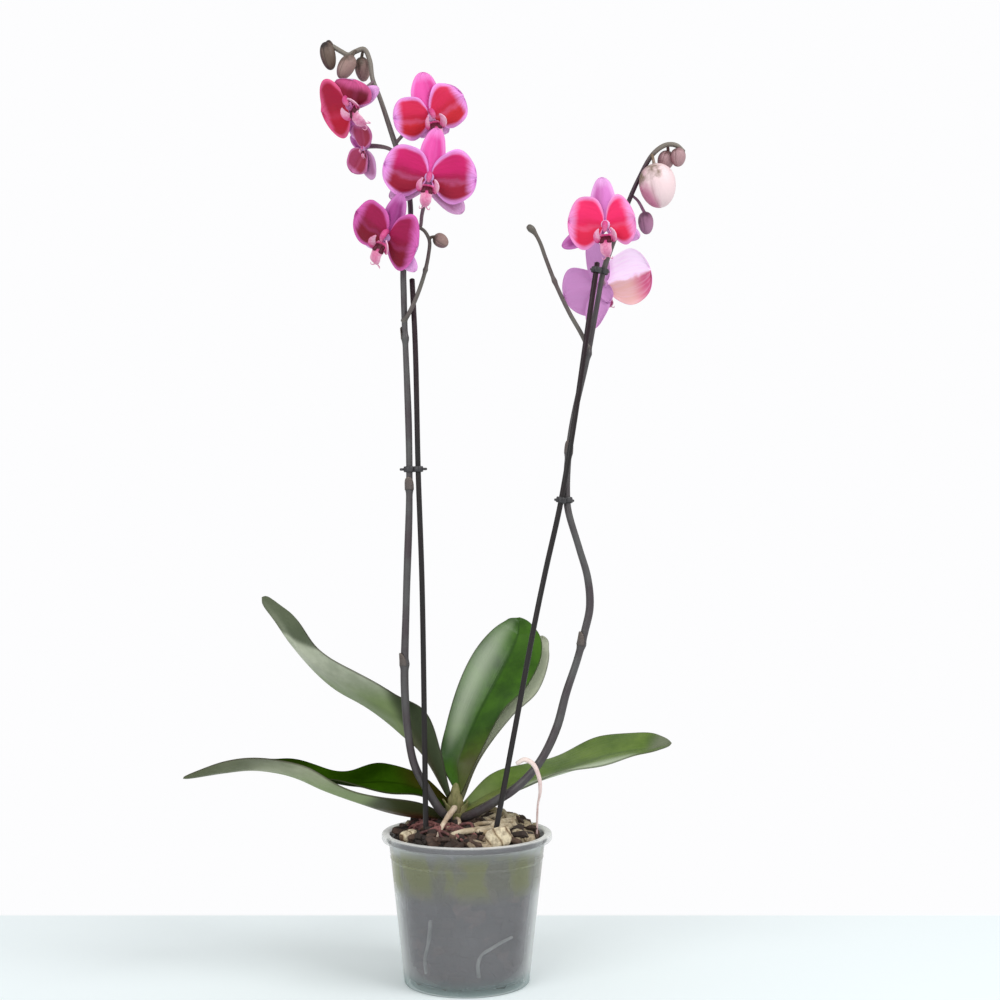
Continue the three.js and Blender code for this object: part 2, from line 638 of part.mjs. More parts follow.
add('clear_pot', potGeometry(), COLOUR.pot, 0.25);
add('growing_mix', mixGeometry(Object.values(STAKES)), COLOUR.bark, 0.95);
for (const [name, chip] of Object.entries(CHIPS)) {
  add(name, chipGeometry(chip), COLOUR.chip, 0.9);
}
add('plant_crown', crownGeometry(0), COLOUR.crown, 0.8);
for (const [name, root] of Object.entries(ROOTS)) {
  const grown = rootGeometry(root);
  add(name, name === 'root_loop' ? grown : offCrown(grown), COLOUR.root, 0.7);
}
for (const [name, leaf] of Object.entries(LEAVES)) {
  add(name, leafGeometry(leaf), COLOUR.leaf, 0.4);
}
for (const [side, spike] of Object.entries(SPIKES)) {
  add(`flower_spike_${side}`, offCrown(spikeGeometry(spike)), COLOUR.stem, 0.5);
  add(`side_branch_${side}`, cut(branchGeometry(BRANCHES[side]), spikeTool[side]), COLOUR.stem, 0.5);
  add(`stake_${side}`, stakeGeometry(STAKES[side]), COLOUR.stake, 0.5);
}
for (const [name, clip] of Object.entries(CLIPS)) {
  add(name, clipGeometry(clip), COLOUR.clip, 0.5);
}

for (const [name, flower] of Object.entries(FLOWERS)) {
  const turn = flowerTurn(flower);
  const head = new THREE.Group();
  head.position.set(...flower.at);
  head.quaternion.setFromRotationMatrix(turn);
  head.scale.setScalar(flower.scale);
  plant.add(head);
  add(`${name}_sepals`, tepalsGeometry(SEPALS, flower.sepals), COLOUR.sepal, 0.6, head);
  add(`${name}_petals`, tepalsGeometry(PETALS, flower.petals), COLOUR.petal, 0.6, head);
  add(`${name}_lip`, lipGeometry(), COLOUR.lip, 0.6, head);
  const face = new THREE.Vector3().setFromMatrixColumn(turn, 2);
  add(`${name}_stalk`, flowerStalk(flower, face), COLOUR.stem);
}
for (const [name, bud] of Object.entries(BUDS)) {
  add(name, budGeometry(bud), COLOUR.bud);
}

export default plant;
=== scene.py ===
# %% [markdown]
# # A moth orchid in a clear nursery pot
# The plant has two tall flower spikes tied to stakes, long fleshy leaves and a clear pot full of bark.
# Its pieces were first built as plain solids of the right size, and this script gives each one the shape
# and finish of the real thing. The solids are loaded first, because every new piece has to sit where its
# solid does.

# %% Load the plain solids
import math
from collections import namedtuple

import bmesh
import bpy
import numpy as np
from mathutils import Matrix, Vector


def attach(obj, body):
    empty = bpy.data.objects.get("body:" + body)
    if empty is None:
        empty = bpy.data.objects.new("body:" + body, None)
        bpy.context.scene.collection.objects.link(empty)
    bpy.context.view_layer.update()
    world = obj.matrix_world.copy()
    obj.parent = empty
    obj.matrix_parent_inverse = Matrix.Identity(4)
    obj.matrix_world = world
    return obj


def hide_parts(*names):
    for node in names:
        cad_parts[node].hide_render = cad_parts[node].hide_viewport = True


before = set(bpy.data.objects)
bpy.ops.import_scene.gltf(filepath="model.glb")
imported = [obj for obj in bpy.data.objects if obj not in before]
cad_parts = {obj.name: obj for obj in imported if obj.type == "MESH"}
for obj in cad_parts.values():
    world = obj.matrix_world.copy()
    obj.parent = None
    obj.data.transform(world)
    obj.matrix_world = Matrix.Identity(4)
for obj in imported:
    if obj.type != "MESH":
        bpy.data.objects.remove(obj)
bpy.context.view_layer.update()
scene = bpy.context.scene
print("solids:", len(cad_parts))

# %% [markdown]
# ## The camera
# A tall plant is seen best level, from 1.2 metres away and from half its own height: the stems stay
# upright and the pot's rim shows as a thin oval. Any lens with the same ratio of length to sensor would
# do. A 60.7 mm lens on a 36 mm sensor just holds the whole plant.

# %% Camera
CAMERA_AT = (0.0233, -1.190, 0.339)
LENS, SENSOR = 60.7, 36
LEVEL = (math.pi / 2, 0, 0)

camera = bpy.data.objects.new("camera", bpy.data.cameras.new("camera"))
camera.data.lens = LENS
camera.data.sensor_width = SENSOR
camera.location = CAMERA_AT
camera.rotation_euler = LEVEL
scene.collection.objects.link(camera)
scene.camera = camera
print("angle of view in degrees:", round(math.degrees(camera.data.angle), 1))

# %% [markdown]
# ## Helpers for colours and nodes
# A Blender material is a tree of nodes. They could be placed by hand in the node editor, but a plant needs
# some forty finishes that share most of their steps. `add_node` puts in one node and fills its sockets, so
# that each finish below reads as a short list.

# %% Colours and nodes
def colour(red, green, blue):
    """A colour as the eye sees it, 0 to 255, turned into the linear light that shaders use."""
    seen = np.array([red, green, blue]) / 255
    linear = np.where(seen <= 0.04045, seen / 12.92, ((seen + 0.055) / 1.055) ** 2.4)
    return (*linear.tolist(), 1.0)


def add_node(tree, kind, sockets=None, **settings):
    """Adds one shader node; sockets maps an input's name or number to a value or to an output."""
    node = tree.nodes.new("ShaderNode" + kind)
    for key, value in settings.items():
        setattr(node, key, value)
    for key, value in (sockets or {}).items():
        if isinstance(value, bpy.types.NodeSocket):
            tree.links.new(value, node.inputs[key])
        else:
            node.inputs[key].default_value = value
    return node


def mix(tree, factor, first, second):
    """The colour between first and second, by factor."""
    return add_node(tree, "Mix", {0: factor, 6: first, 7: second}, data_type="RGBA").outputs[2]


def number(tree, operation, *values):
    """One step of arithmetic on numbers."""
    return add_node(tree, "Math", dict(enumerate(values)), operation=operation).outputs[0]


print("middle grey in linear light:", round(colour(128, 128, 128)[0], 3))

# %% [markdown]
# ## Helpers for masks
# A mask says where on a surface something happens, as a number from 0 to 1. It could be painted, but a
# painted mask has one fixed size. These are worked out from cloudy noise, or from numbers that each point
# carries, and stretched by a smooth step.

# %% Masks
def spread(tree, value, low, high, to_low=0.0, to_high=1.0):
    """value between low and high, stretched to lie between to_low and to_high, with soft ends."""
    sockets = {"Value": value, "From Min": low, "From Max": high, "To Min": to_low, "To Max": to_high}
    return add_node(tree, "MapRange", sockets, interpolation_type="SMOOTHSTEP").outputs[0]


def attribute(tree, name):
    """A number that was stored on the piece's points, such as how far along a leaf a point is."""
    return add_node(tree, "Attribute", attribute_name=name).outputs["Fac"]


def own_place(tree):
    """Each point's place in the object's own space, in metres."""
    return add_node(tree, "TexCoord").outputs["Object"]


def noise(tree, place, scale, detail, roughness=0.5):
    """Cloudy noise from 0 to 1; scale is how many clouds lie on a metre, detail adds finer ones."""
    sockets = {"Vector": place, "Scale": scale, "Detail": detail, "Roughness": roughness}
    return add_node(tree, "TexNoise", sockets).outputs[0]


print("helpers for masks:", [helper.__name__ for helper in (spread, attribute, own_place, noise)])

# %% [markdown]
# ## Helpers for whole materials
# One Principled shader can look like bark, wax or plastic, so every finish starts from it. An effect that
# several finishes use could be copied, but a node group is built once and placed with other values in each.

# %% Materials and groups
def new_material(name, roughness, constants=None):
    """A material with its Principled shader; constants maps sockets to values that are the same all over."""
    material = bpy.data.materials.new(name)
    material.use_nodes = True
    tree = material.node_tree
    shader = tree.nodes["Principled BSDF"]
    shader.inputs["Roughness"].default_value = roughness
    for key, value in (constants or {}).items():
        shader.inputs[key].default_value = value
    return material, tree, shader


def raise_relief(tree, shader, height, distance):
    """Feeds a height, in metres at full value, to the shader's normal through a Bump node."""
    bump = add_node(tree, "Bump", {"Height": height, "Distance": distance, "Strength": 1.0})
    tree.links.new(bump.outputs[0], shader.inputs["Normal"])


def new_group(name, inputs, outputs):
    """An empty node group with named inputs and outputs. Each is a name with Float or Color."""
    tree = bpy.data.node_groups.new(name, "ShaderNodeTree")
    for way, sockets in (("INPUT", inputs), ("OUTPUT", outputs)):
        for label, kind in sockets.items():
            tree.interface.new_socket(label, in_out=way, socket_type="NodeSocket" + kind)
    return tree, tree.nodes.new("NodeGroupInput").outputs, tree.nodes.new("NodeGroupOutput").inputs


def use_group(tree, group, **sockets):
    """Places a shared group in a material; underscores in a socket's name stand for spaces."""
    node = tree.nodes.new("ShaderNodeGroup")
    node.node_tree = group
    for key, value in sockets.items():
        socket = node.inputs[key.replace("_", " ")]
        if isinstance(value, bpy.types.NodeSocket):
            tree.links.new(value, socket)
        else:
            socket.default_value = value
    return node.outputs


print("materials so far:", len(bpy.data.materials))

# %% [markdown]
# ## The sky
# A white backdrop lights a plant from all sides, and would wash out its dark greens. A dimmer backdrop
# would look grey. Blender can have both: the camera sees a white sky, and every other ray meets a dimmer
# one, so the leaves keep a dark side.

# %% Sky
SKY_SEEN = colour(253, 253, 254)
SKY_LIGHT = 0.62
WHITE, BLACK = (1, 1, 1, 1), (0, 0, 0, 1)

world = bpy.data.worlds.new("studio")
world.use_nodes = True
scene.world = world
scene.view_settings.view_transform = "Standard"
sky = world.node_tree
sky.nodes.clear()
seen = add_node(sky, "Background", {"Color": SKY_SEEN, "Strength": 1.0})
light = add_node(sky, "Background", {"Color": WHITE, "Strength": SKY_LIGHT})
by_camera = add_node(sky, "LightPath").outputs["Is Camera Ray"]
both = add_node(sky, "MixShader", {0: by_camera, 1: light.outputs[0], 2: seen.outputs[0]})
add_node(sky, "OutputWorld", {"Surface": both.outputs[0]})
print("sky nodes:", len(sky.nodes))

# %% [markdown]
# ## Two soft lights
# Petals and leaves shine softly. Small lamps would give hard sparks and sharp shadows on them. Two large
# area lights, one high on the right and one far off on the left, give the broad sheen of a softbox.

# %% Soft lights
LIGHTS = {
    "softbox_right": {"at": (1.56, -1.05, 1.95), "to": (0.0, 0.0, 0.25), "size": 1.4, "watts": 30},
    "softbox_front": {"at": (-1.5, -2.3, 1.7), "to": (-0.1, 0.0, 0.3), "size": 2.0, "watts": 36},
}
for name, spec in LIGHTS.items():
    lamp = bpy.data.objects.new(name, bpy.data.lights.new(name, "AREA"))
    lamp.data.energy, lamp.data.size = spec["watts"], spec["size"]
    lamp.location = spec["at"]
    aim = Vector(spec["to"]) - Vector(spec["at"])
    lamp.rotation_euler = aim.to_track_quat("-Z", "Y").to_euler()
    scene.collection.objects.link(lamp)
print("lamps:", {name: spec["watts"] for name, spec in LIGHTS.items()})

# %% [markdown]
# ## The floor
# The pot stands on pale paper that ends a hand's breadth behind it. A wall there would be in the way from
# behind, so one flat sheet does both jobs: past its edge the camera sees it as bright as the sky, while
# every other ray meets pale paper. On this side of the edge the paper glows a little for the camera alone,
# a painted glow that lightens it and the shadows on it.

# %% Floor
FLOOR_EDGE, EDGE_SOFTNESS = 0.187, 0.004
FLOOR_REACH = 6.0

floor_mesh = bpy.data.meshes.new("floor")
corners = [(x * FLOOR_REACH, y * FLOOR_REACH, 0) for x, y in ((-1, -1), (1, -1), (1, 1), (-1, 1))]
floor_mesh.from_pydata(corners, [], [(0, 1, 2, 3)])
floor = bpy.data.objects.new("floor", floor_mesh)
scene.collection.objects.link(floor)
paper, tree, shader = new_material("pale_floor", 0.6, {"Emission Strength": 1.0, "Specular IOR Level": 0.0})
place = add_node(tree, "SeparateXYZ", {0: own_place(tree)})
behind = spread(tree, place.outputs["Y"], FLOOR_EDGE - EDGE_SOFTNESS, FLOOR_EDGE + EDGE_SOFTNESS)
by_camera = add_node(tree, "LightPath").outputs["Is Camera Ray"]
glow = number(tree, "MULTIPLY", behind, by_camera)
tone = mix(tree, behind, colour(230, 238, 240), colour(246, 247, 248))
tree.links.new(mix(tree, glow, tone, BLACK), shader.inputs["Base Color"])
# Painted glow: for camera rays the paper on this side of the edge gives off a faint grey light of its own,
# which lifts it and its shadows.
sheen = mix(tree, by_camera, BLACK, colour(78, 80, 80))
tree.links.new(mix(tree, glow, sheen, SKY_SEEN), shader.inputs["Emission Color"])
floor_mesh.materials.append(paper)
print("floor side in metres:", 2 * FLOOR_REACH)

# %% [markdown]
# ## Lines to build along
# Stems, roots and leaf edges are all curves through a few chosen points. Blender's own curves could carry
# a round section, but not a leaf or a scale. So a line is worked out with numpy as plain points, which any
# shape can follow.

# %% Lines and directions
MM = 0.001


def unit(arrows):
    """Each arrow divided by its own length."""
    return arrows / np.maximum(np.linalg.norm(arrows, axis=-1, keepdims=True), 1e-9)


def smooth_line(points, stations):
    """A smooth line through a few points, at stations from 0 to 1 spread evenly over the points.
    Each span is a cubic. Its slope at a point is a mean over both neighbouring spans, weighted by the
    square roots of their lengths, so that the line never loops or overshoots."""
    p = np.asarray(points, float)
    p = np.vstack([2 * p[0] - p[1], p, 2 * p[-1] - p[-2]])
    root = np.sqrt(np.linalg.norm(np.diff(p, axis=0), axis=1))[:, None]
    before, here, after = root[:-2], root[1:-1], root[2:]
    a, b, c, d = p[:-3], p[1:-2], p[2:-1], p[3:]
    leave = here * ((b - a) / before - (c - a) / (before + here)) + (c - b)
    arrive = here * ((d - c) / after - (d - b) / (here + after)) + (c - b)
    place = np.clip(np.asarray(stations, float), 0, 1).ravel() * len(b)
    span = np.minimum(place.astype(int), len(b) - 1)
    t = (place - span)[:, None]
    return ((2 * t**3 - 3 * t**2 + 1) * b[span] + (t**3 - 2 * t**2 + t) * leave[span]
            + (3 * t**2 - 2 * t**3) * c[span] + (t**3 - t**2) * arrive[span])


def even_line(points, count):
    """The same line, sampled at count places that lie evenly along its length."""
    fine = smooth_line(points, np.linspace(0, 1, 60 * len(points)))
    walked = np.concatenate([[0], np.cumsum(np.linalg.norm(np.diff(fine, axis=0), axis=1))])
    wanted = np.linspace(0, walked[-1], count)
    return np.stack([np.interp(wanted, walked, fine[:, axis]) for axis in range(3)], axis=1)


def bell(values, centre, width):
    """A bell curve: 1 at the centre and nearly 0 two widths away from it."""
    return np.exp(-(((values - centre) / width) ** 2))


print("a line's middle:", smooth_line([[0, 0, 0], [1, 1, 0], [2, 0, 0]], [0.5])[0])

# %% [markdown]
# ## Shells
# Every new surface is a grid of points. A `Shell` holds the points in millimetres, the faces, and four
# numbers for each point that the finishes read: how far along the piece it is, how far across, whether it
# is on the upper side, and a free tone. Modelling by hand could give the same shapes, but not these numbers.

# %% Grids and shells
Shell = namedtuple("Shell", "points faces values")
VALUES = ("along", "across", "upper", "tone")


def quads(rows, columns, closed=False):
    """The four-cornered faces between neighbouring points of a grid; closed joins the last column to the
    first."""
    i, j = np.meshgrid(np.arange(rows - 1), np.arange(columns - (not closed)), indexing="ij")
    k = (j + 1) % columns
    corners = [i * columns + j, i * columns + k, (i + 1) * columns + k, (i + 1) * columns + j]
    return np.stack(corners, axis=-1).reshape(-1, 4)


def new_shell(points, faces, **values):
    """A Shell from a grid of points; a value that isn't given is 0."""
    shape = points.shape[:-1]
    filled = {key: np.broadcast_to(values.get(key, 0.0), shape).ravel() for key in VALUES}
    return Shell(points.reshape(-1, 3), faces, filled)


def closed_grid(points, outward=True, **values):
    """A closed Shell from a stack of rings: each ring is joined to the next, and a cap closes both ends."""
    rows, columns = points.shape[:2]
    caps = np.arange(columns)
    faces = [quads(rows, columns, closed=True), caps[None, ::-1], caps[None] + (rows - 1) * columns]
    if not outward:
        faces = [group[:, ::-1] for group in faces]
    return new_shell(points, faces, **values)


def join(*shells):
    """Several shells as one, with all their values."""
    starts = np.cumsum([0] + [len(shell.points) for shell in shells])
    faces = [group + start for shell, start in zip(shells, starts) for group in shell.faces]
    values = {key: np.concatenate([shell.values[key] for shell in shells]) for key in VALUES}
    return Shell(np.vstack([shell.points for shell in shells]), faces, values)


print("numbers at each point:", VALUES)

# %% [markdown]
# ## Tubes
# A stem or a root is a round section carried along a line. A curve with a bevel would do, but without
# numbers at its points. Two directions from the line and a fixed axis keep the section from twisting.

# %% Tubes
END_REACH, END_WIDTH = 0.35, 0.55


def ring_frame(line):
    """Two directions square to the line at each station: side is square to the world axis that the line
    follows least, and other completes a right-handed set with the line's own direction."""
    along = unit(np.gradient(line, axis=0))
    least = np.eye(3)[np.argmin(np.abs(along).max(axis=0))]
    side = unit(np.cross(along, least))
    return side, np.cross(along, side)


def tube(line, radius, sides=14, **values):
    """A round stem: at each station a ring of points at line + radius * (cos a * side + sin a * other).
    A smaller ring just past each end rounds it off."""
    line = np.asarray(line, float)
    radius = np.broadcast_to(radius, len(line)).astype(float)
    step = np.linalg.norm(line[1] - line[0])
    ends = [line[0] - unit(line[1] - line[0]) * min(END_REACH * radius[0], step),
            line[-1] + unit(line[-1] - line[-2]) * min(END_REACH * radius[-1], step)]
    side, other = ring_frame(line)
    centres = np.vstack([ends[0], line, ends[1]])
    reach = np.concatenate([[END_WIDTH * radius[0]], radius, [END_WIDTH * radius[-1]]])
    side, other = (np.vstack([way[:1], way, way[-1:]]) for way in (side, other))
    angle = np.linspace(0, 2 * np.pi, sides, endpoint=False)
    around = side[:, None] * np.cos(angle)[:, None] + other[:, None] * np.sin(angle)[:, None]
    points = centres[:, None] + reach[:, None, None] * around
    values.setdefault("along", np.linspace(0, 1, len(centres))[:, None])
    values.setdefault("across", np.sin(angle)[None])
    return closed_grid(points, **values)


print("a short tube:", len(tube([[0, 0, 0], [0, 0, 9]], 2.0).points), "points")

# %% [markdown]
# ## Blades
# Leaves, petals, sepals and scales are thin sheets with a real thickness. A Solidify modifier could thicken
# them, but it would not say which side is the upper one. So the sheet is pushed out to both sides here, and
# each side gets its own number for the finish to read.

# %% Blades
def blade(middle, thickness, along, across, tone=0.0):
    """A closed leaf-like sheet. The middle surface is pushed half the thickness to either side along its
    normal, which is the direction along crossed with the direction across, and a strip joins the rims."""
    rows, columns = middle.shape[:2]
    normal = unit(np.cross(np.gradient(middle, axis=0), np.gradient(middle, axis=1)))
    offset = normal * (np.broadcast_to(thickness, (rows, columns)) / 2)[..., None]
    points = np.stack([middle + offset, middle - offset])
    count = rows * columns
    under = quads(rows, columns)
    upper = under[:, ::-1]
    index = np.arange(count).reshape(rows, columns)
    loop = np.concatenate([index[:, 0], index[-1, 1:], index[-2::-1, -1], index[0, -2:0:-1]])
    onward = np.roll(loop, -1)
    rim = np.stack([onward, loop, loop + count, onward + count], axis=1)
    side = np.array([1.0, 0.0])[:, None, None]
    return new_shell(points, [upper, under + count, rim], along=along, across=across, upper=side, tone=tone)


flat = np.stack([*np.indices((3, 3)), np.zeros((3, 3))], axis=-1)
print("a blade from a 3 x 3 grid:", len(blade(flat, 1.0, 0.0, 0.0).points), "points")

# %% [markdown]
# ## Putting a piece into the scene
# A shell becomes a mesh object at the origin, so that patterns in the object's own space stay put. Each
# piece says as it is made what it rides on, which solids it stands for and which finish it has.

# %% Pieces
triangle_counts = {}


def make_piece(name, shell, materials, replaces=(), smooth=True, pick=None):
    mesh = bpy.data.meshes.new(name)
    faces = [face for group in shell.faces for face in group.tolist()]
    mesh.from_pydata((shell.points * MM).tolist(), [], faces)
    for key, value in shell.values.items():
        stored = mesh.attributes.new(key, "FLOAT", "POINT")
        stored.data.foreach_set("value", np.ascontiguousarray(value, np.float32))
    mesh.polygons.foreach_set("use_smooth", np.full(len(faces), smooth))
    for material in materials if isinstance(materials, (list, tuple)) else [materials]:
        mesh.materials.append(material)
    if pick is not None:
        mesh.polygons.foreach_set("material_index", np.asarray(pick, np.int32))
    mesh.update()
    piece = bpy.data.objects.new(name, mesh)
    scene.collection.objects.link(piece)
    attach(piece, "root")
    if replaces:
        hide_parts(*replaces)
    triangle_counts[name] = sum(len(face) - 2 for face in faces)
    return piece


def tell(label, *starts):
    """Prints how many pieces have a name that starts in one of these ways, and their triangles."""
    counts = [count for name, count in triangle_counts.items() if name.startswith(starts)]
    print(f"{label}: {len(counts)} pieces, {sum(counts)} triangles")


tell("pieces so far", "")

# %% [markdown]
# ## Effects that several finishes share
# Living surfaces are never one colour. `mottle` blends two colours by cloudy noise, `fibres` gives fine
# lines along a leaf, petal or stem, and `two_faces` shows one colour on the upper side and another below.
# Painted pictures could do the same, but these fit any piece that carries its numbers.

# %% Shared node groups
mottle, given, result = new_group(
    "mottle", {"Scale": "Float", "Softness": "Float", "First": "Color", "Second": "Color"},
    {"Colour": "Color", "Mask": "Float"})
cloud = noise(mottle, own_place(mottle), given["Scale"], 4.0, 0.6)
mask = spread(mottle, cloud, number(mottle, "SUBTRACT", 0.5, given["Softness"]),
              number(mottle, "ADD", 0.5, given["Softness"]))
mottle.links.new(mix(mottle, mask, given["First"], given["Second"]), result["Colour"])
mottle.links.new(mask, result["Mask"])

fibres, given, result = new_group(
    "fibres", {"Lines": "Float", "Wander": "Float"}, {"Height": "Float"})
ways = add_node(fibres, "CombineXYZ", {
    0: number(fibres, "MULTIPLY", attribute(fibres, "across"), given["Lines"]),
    1: number(fibres, "MULTIPLY", attribute(fibres, "along"), given["Wander"])})
fibres.links.new(noise(fibres, ways.outputs[0], 1.0, 3.0, 0.55), result["Height"])

two_faces, given, result = new_group(
    "two_faces", {"Upper": "Color", "Under": "Color"}, {"Colour": "Color"})
side = spread(two_faces, attribute(two_faces, "upper"), 0.25, 0.75)
two_faces.links.new(mix(two_faces, side, given["Under"], given["Upper"]), result["Colour"])
print("shared effects:", [group.name for group in bpy.data.node_groups])

# %% [markdown]
# ## The clear pot
# A nursery pot is formed from thin clear plastic: a tapered wall, a turned-out rim, a moulded line below
# it, and a raised floor on a foot ring with a middle pad and drain holes. Cylinders could be joined for it,
# but a profile turned round the upright axis gives every soft edge at once.

# %% Pot shape
POT_HEIGHT = 105
RIM_RADIUS = 60
RIM_DEPTH = 5
WALL_TOP_RADIUS = 55.5
BASE_RADIUS = 44
WALL = 1.4
FLOOR_UNDER, FLOOR_TOP = 3.5, 5.0
PAD_RADIUS = 11
FOOT_WIDTH = 5
COLLAR_DROP = 18
DRAIN_HOLES, DRAIN_RADIUS, DRAIN_CIRCLE = 8, 3.6, 25
CAP_RADIUS = 0.05


def wall_radius(z):
    """The outside of the tapered wall at height z: a straight line from the base to the top."""
    return BASE_RADIUS + (WALL_TOP_RADIUS - BASE_RADIUS) * z / POT_HEIGHT


def arc(centre, radius, start, end, count):
    """Points on a circle's arc between two angles in degrees, as pairs of radius and height."""
    angle = np.radians(np.linspace(start, end, count))
    return np.stack([centre[0] + radius * np.cos(angle), centre[1] + radius * np.sin(angle)], axis=1)


def turned(outline, around=144):
    """A profile of (radius, height) pairs turned round the upright axis. It starts and ends on the axis,
    where a cap of radius CAP_RADIUS closes it."""
    outline = np.asarray(outline, float)
    outline[:, 0] = np.maximum(outline[:, 0], CAP_RADIUS)
    angle = np.linspace(0, 2 * np.pi, around, endpoint=False)
    ring = np.stack([np.cos(angle), np.sin(angle), np.zeros(around)], axis=1)
    points = outline[:, None, :1] * ring + outline[:, None, 1:] * np.array([0, 0, 1])
    return closed_grid(points, along=np.linspace(0, 1, len(outline))[:, None])


print("wall radius half way up, in mm:", round(wall_radius(POT_HEIGHT / 2), 1))

# %% [markdown]
# ## The pot's profile
# The outline is a chain of straight stretches and small arcs that follow from the pot's few sizes. A
# hand-drawn curve would look much the same, but would not keep the wall's real thickness.

# %% Pot profile
def pot_outline():
    """From the middle of the underside, out over pad, floor and foot, up the wall, round the rim and back
    down inside to the middle of the floor."""
    collar = POT_HEIGHT - COLLAR_DROP
    rim_under = POT_HEIGHT - RIM_DEPTH
    foot = BASE_RADIUS - FOOT_WIDTH
    inside = wall_radius(POT_HEIGHT) - WALL
    return np.vstack([
        [[0, 0]], arc((PAD_RADIUS - 0.8, 0.8), 0.8, -90, 0, 4), [[PAD_RADIUS + 1, FLOOR_UNDER]],
        [[foot - 1, FLOOR_UNDER]], arc((foot + 0.8, 0.8), 0.8, 180, 270, 4),
        arc((BASE_RADIUS - 1.2, 1.4), 1.4, -90, -8, 6),
        [[wall_radius(z), z] for z in np.linspace(8, collar - 1, 12)],
        arc((wall_radius(collar) - 0.4, collar + 1.2), 0.9, -60, 20, 5),
        [[wall_radius(collar + 2.4), collar + 2.4], [wall_radius(rim_under) + 0.2, rim_under - 1.2]],
        arc((wall_radius(rim_under) + 1.6, rim_under - 1.2), 1.2, 180, 90, 5),
        arc((RIM_RADIUS - 1.2, rim_under + 1.2), 1.2, -90, 0, 5),
        arc((RIM_RADIUS - 1.4, POT_HEIGHT - 1.4), 1.4, 0, 90, 6),
        arc((inside + 1.6, POT_HEIGHT - 1.6), 1.6, 90, 180, 6),
        [[wall_radius(z) - WALL, z] for z in np.linspace(POT_HEIGHT - 8, FLOOR_TOP + 2, 8)],
        arc((wall_radius(FLOOR_TOP) - WALL - 2, FLOOR_TOP + 2), 2, 0, -90, 5), [[0, FLOOR_TOP]]])


print("points on the profile:", len(pot_outline()))

# %% [markdown]
# ## The pot's finish
# Old clear plastic is a milky film over the bark, scuffed, with green algae in ragged patches under the
# rim. The flange is clearer than the wall, the neck below it is milkier, and a bright line along the lip
# is a painted highlight. Real refraction would be slow and would not survive the export, so the wall is a
# thin coat whose alpha says how much of it is seen.

# %% Pot finish
# The bright line along the lip is a painted highlight: more alpha and a near-white tint at its top.
LIP_HIGHLIGHT_START, LIP_HIGHLIGHT_FULL = 0.1043, 0.1049
LIP_HIGHLIGHT_TINT_START, LIP_HIGHLIGHT_TINT_FULL = 0.1036, 0.1044
FLANGE_START, FLANGE_FULL = 0.0562, 0.0572
NECK_START, NECK_FULL = 0.090, 0.098
COLLAR_AT, COLLAR_FULL, COLLAR_END = 0.0875, 0.0005, 0.0016
ALGAE_START, ALGAE_FULL, ALGAE_FADE, ALGAE_END = 0.062, 0.078, 0.090, 0.102
FOOT_TINT = 0.014
ACROSS_ONLY = (1.0, 1.0, 0.0)
DRAWN_UP = (1.0, 1.0, 0.35)

clear_plastic, tree, shader = new_material("clear_plastic", 0.16, {"Specular IOR Level": 0.4})
facing = add_node(tree, "LayerWeight", {"Blend": 0.4}).outputs["Facing"]
place = own_place(tree)
upright = add_node(tree, "SeparateXYZ", {0: place}).outputs["Z"]
level = add_node(tree, "VectorMath", {0: place, 1: ACROSS_ONLY}, operation="MULTIPLY").outputs[0]
outward = add_node(tree, "VectorMath", {0: level}, operation="LENGTH").outputs["Value"]
drawn = add_node(tree, "VectorMath", {0: place, 1: DRAWN_UP}, operation="MULTIPLY").outputs[0]
scuffs = noise(tree, place, 42.0, 6.0, 0.7)
patches = noise(tree, drawn, 46.0, 3.0)

film = spread(tree, scuffs, 0.42, 0.75, 0.0, 0.05)
# Painted highlight: the alpha rises along the top of the lip.
lip_highlight = spread(tree, upright, LIP_HIGHLIGHT_START, LIP_HIGHLIGHT_FULL, 0.0, 0.45)
flange = spread(tree, outward, FLANGE_START, FLANGE_FULL, 0.0, 0.62)
neck = spread(tree, upright, NECK_START, NECK_FULL, 0.0, 0.27)
from_collar = number(tree, "ABSOLUTE", number(tree, "SUBTRACT", upright, COLLAR_AT))
collar = spread(tree, from_collar, COLLAR_END, COLLAR_FULL, 0.0, 0.07)
algae_band = number(tree, "MULTIPLY", spread(tree, upright, ALGAE_START, ALGAE_FULL),
                    spread(tree, upright, ALGAE_END, ALGAE_FADE))
ragged = number(tree, "ADD", patches, spread(tree, scuffs, 0.3, 0.7, -0.06, 0.06))
algae = number(tree, "MULTIPLY", algae_band, spread(tree, ragged, 0.45, 0.58))
print("nodes for the pot's masks:", len(tree.nodes))

# %% [markdown]
# ## Coating the pot
# The masks are now added up. The alpha starts from a thin even film, gains with every mask and where the
# wall turns away, and loses most of it at the flange. The tint starts from grey, and each mask pulls it to
# its own colour. One mask after another is easier to tune than a single mixed one.

# %% Pot coat
body = number(tree, "ADD", film, 0.29)
for part in (number(tree, "MULTIPLY", algae, 0.2), neck, collar, spread(tree, facing, 0.25, 0.9, 0.0, 0.5)):
    body = number(tree, "ADD", body, part)
thinned = number(tree, "MULTIPLY", body, number(tree, "SUBTRACT", 1.0, flange))
tree.links.new(number(tree, "ADD", thinned, lip_highlight), shader.inputs["Alpha"])

tint = mix(tree, spread(tree, facing, 0.3, 0.85), colour(156, 156, 160), colour(222, 225, 224))
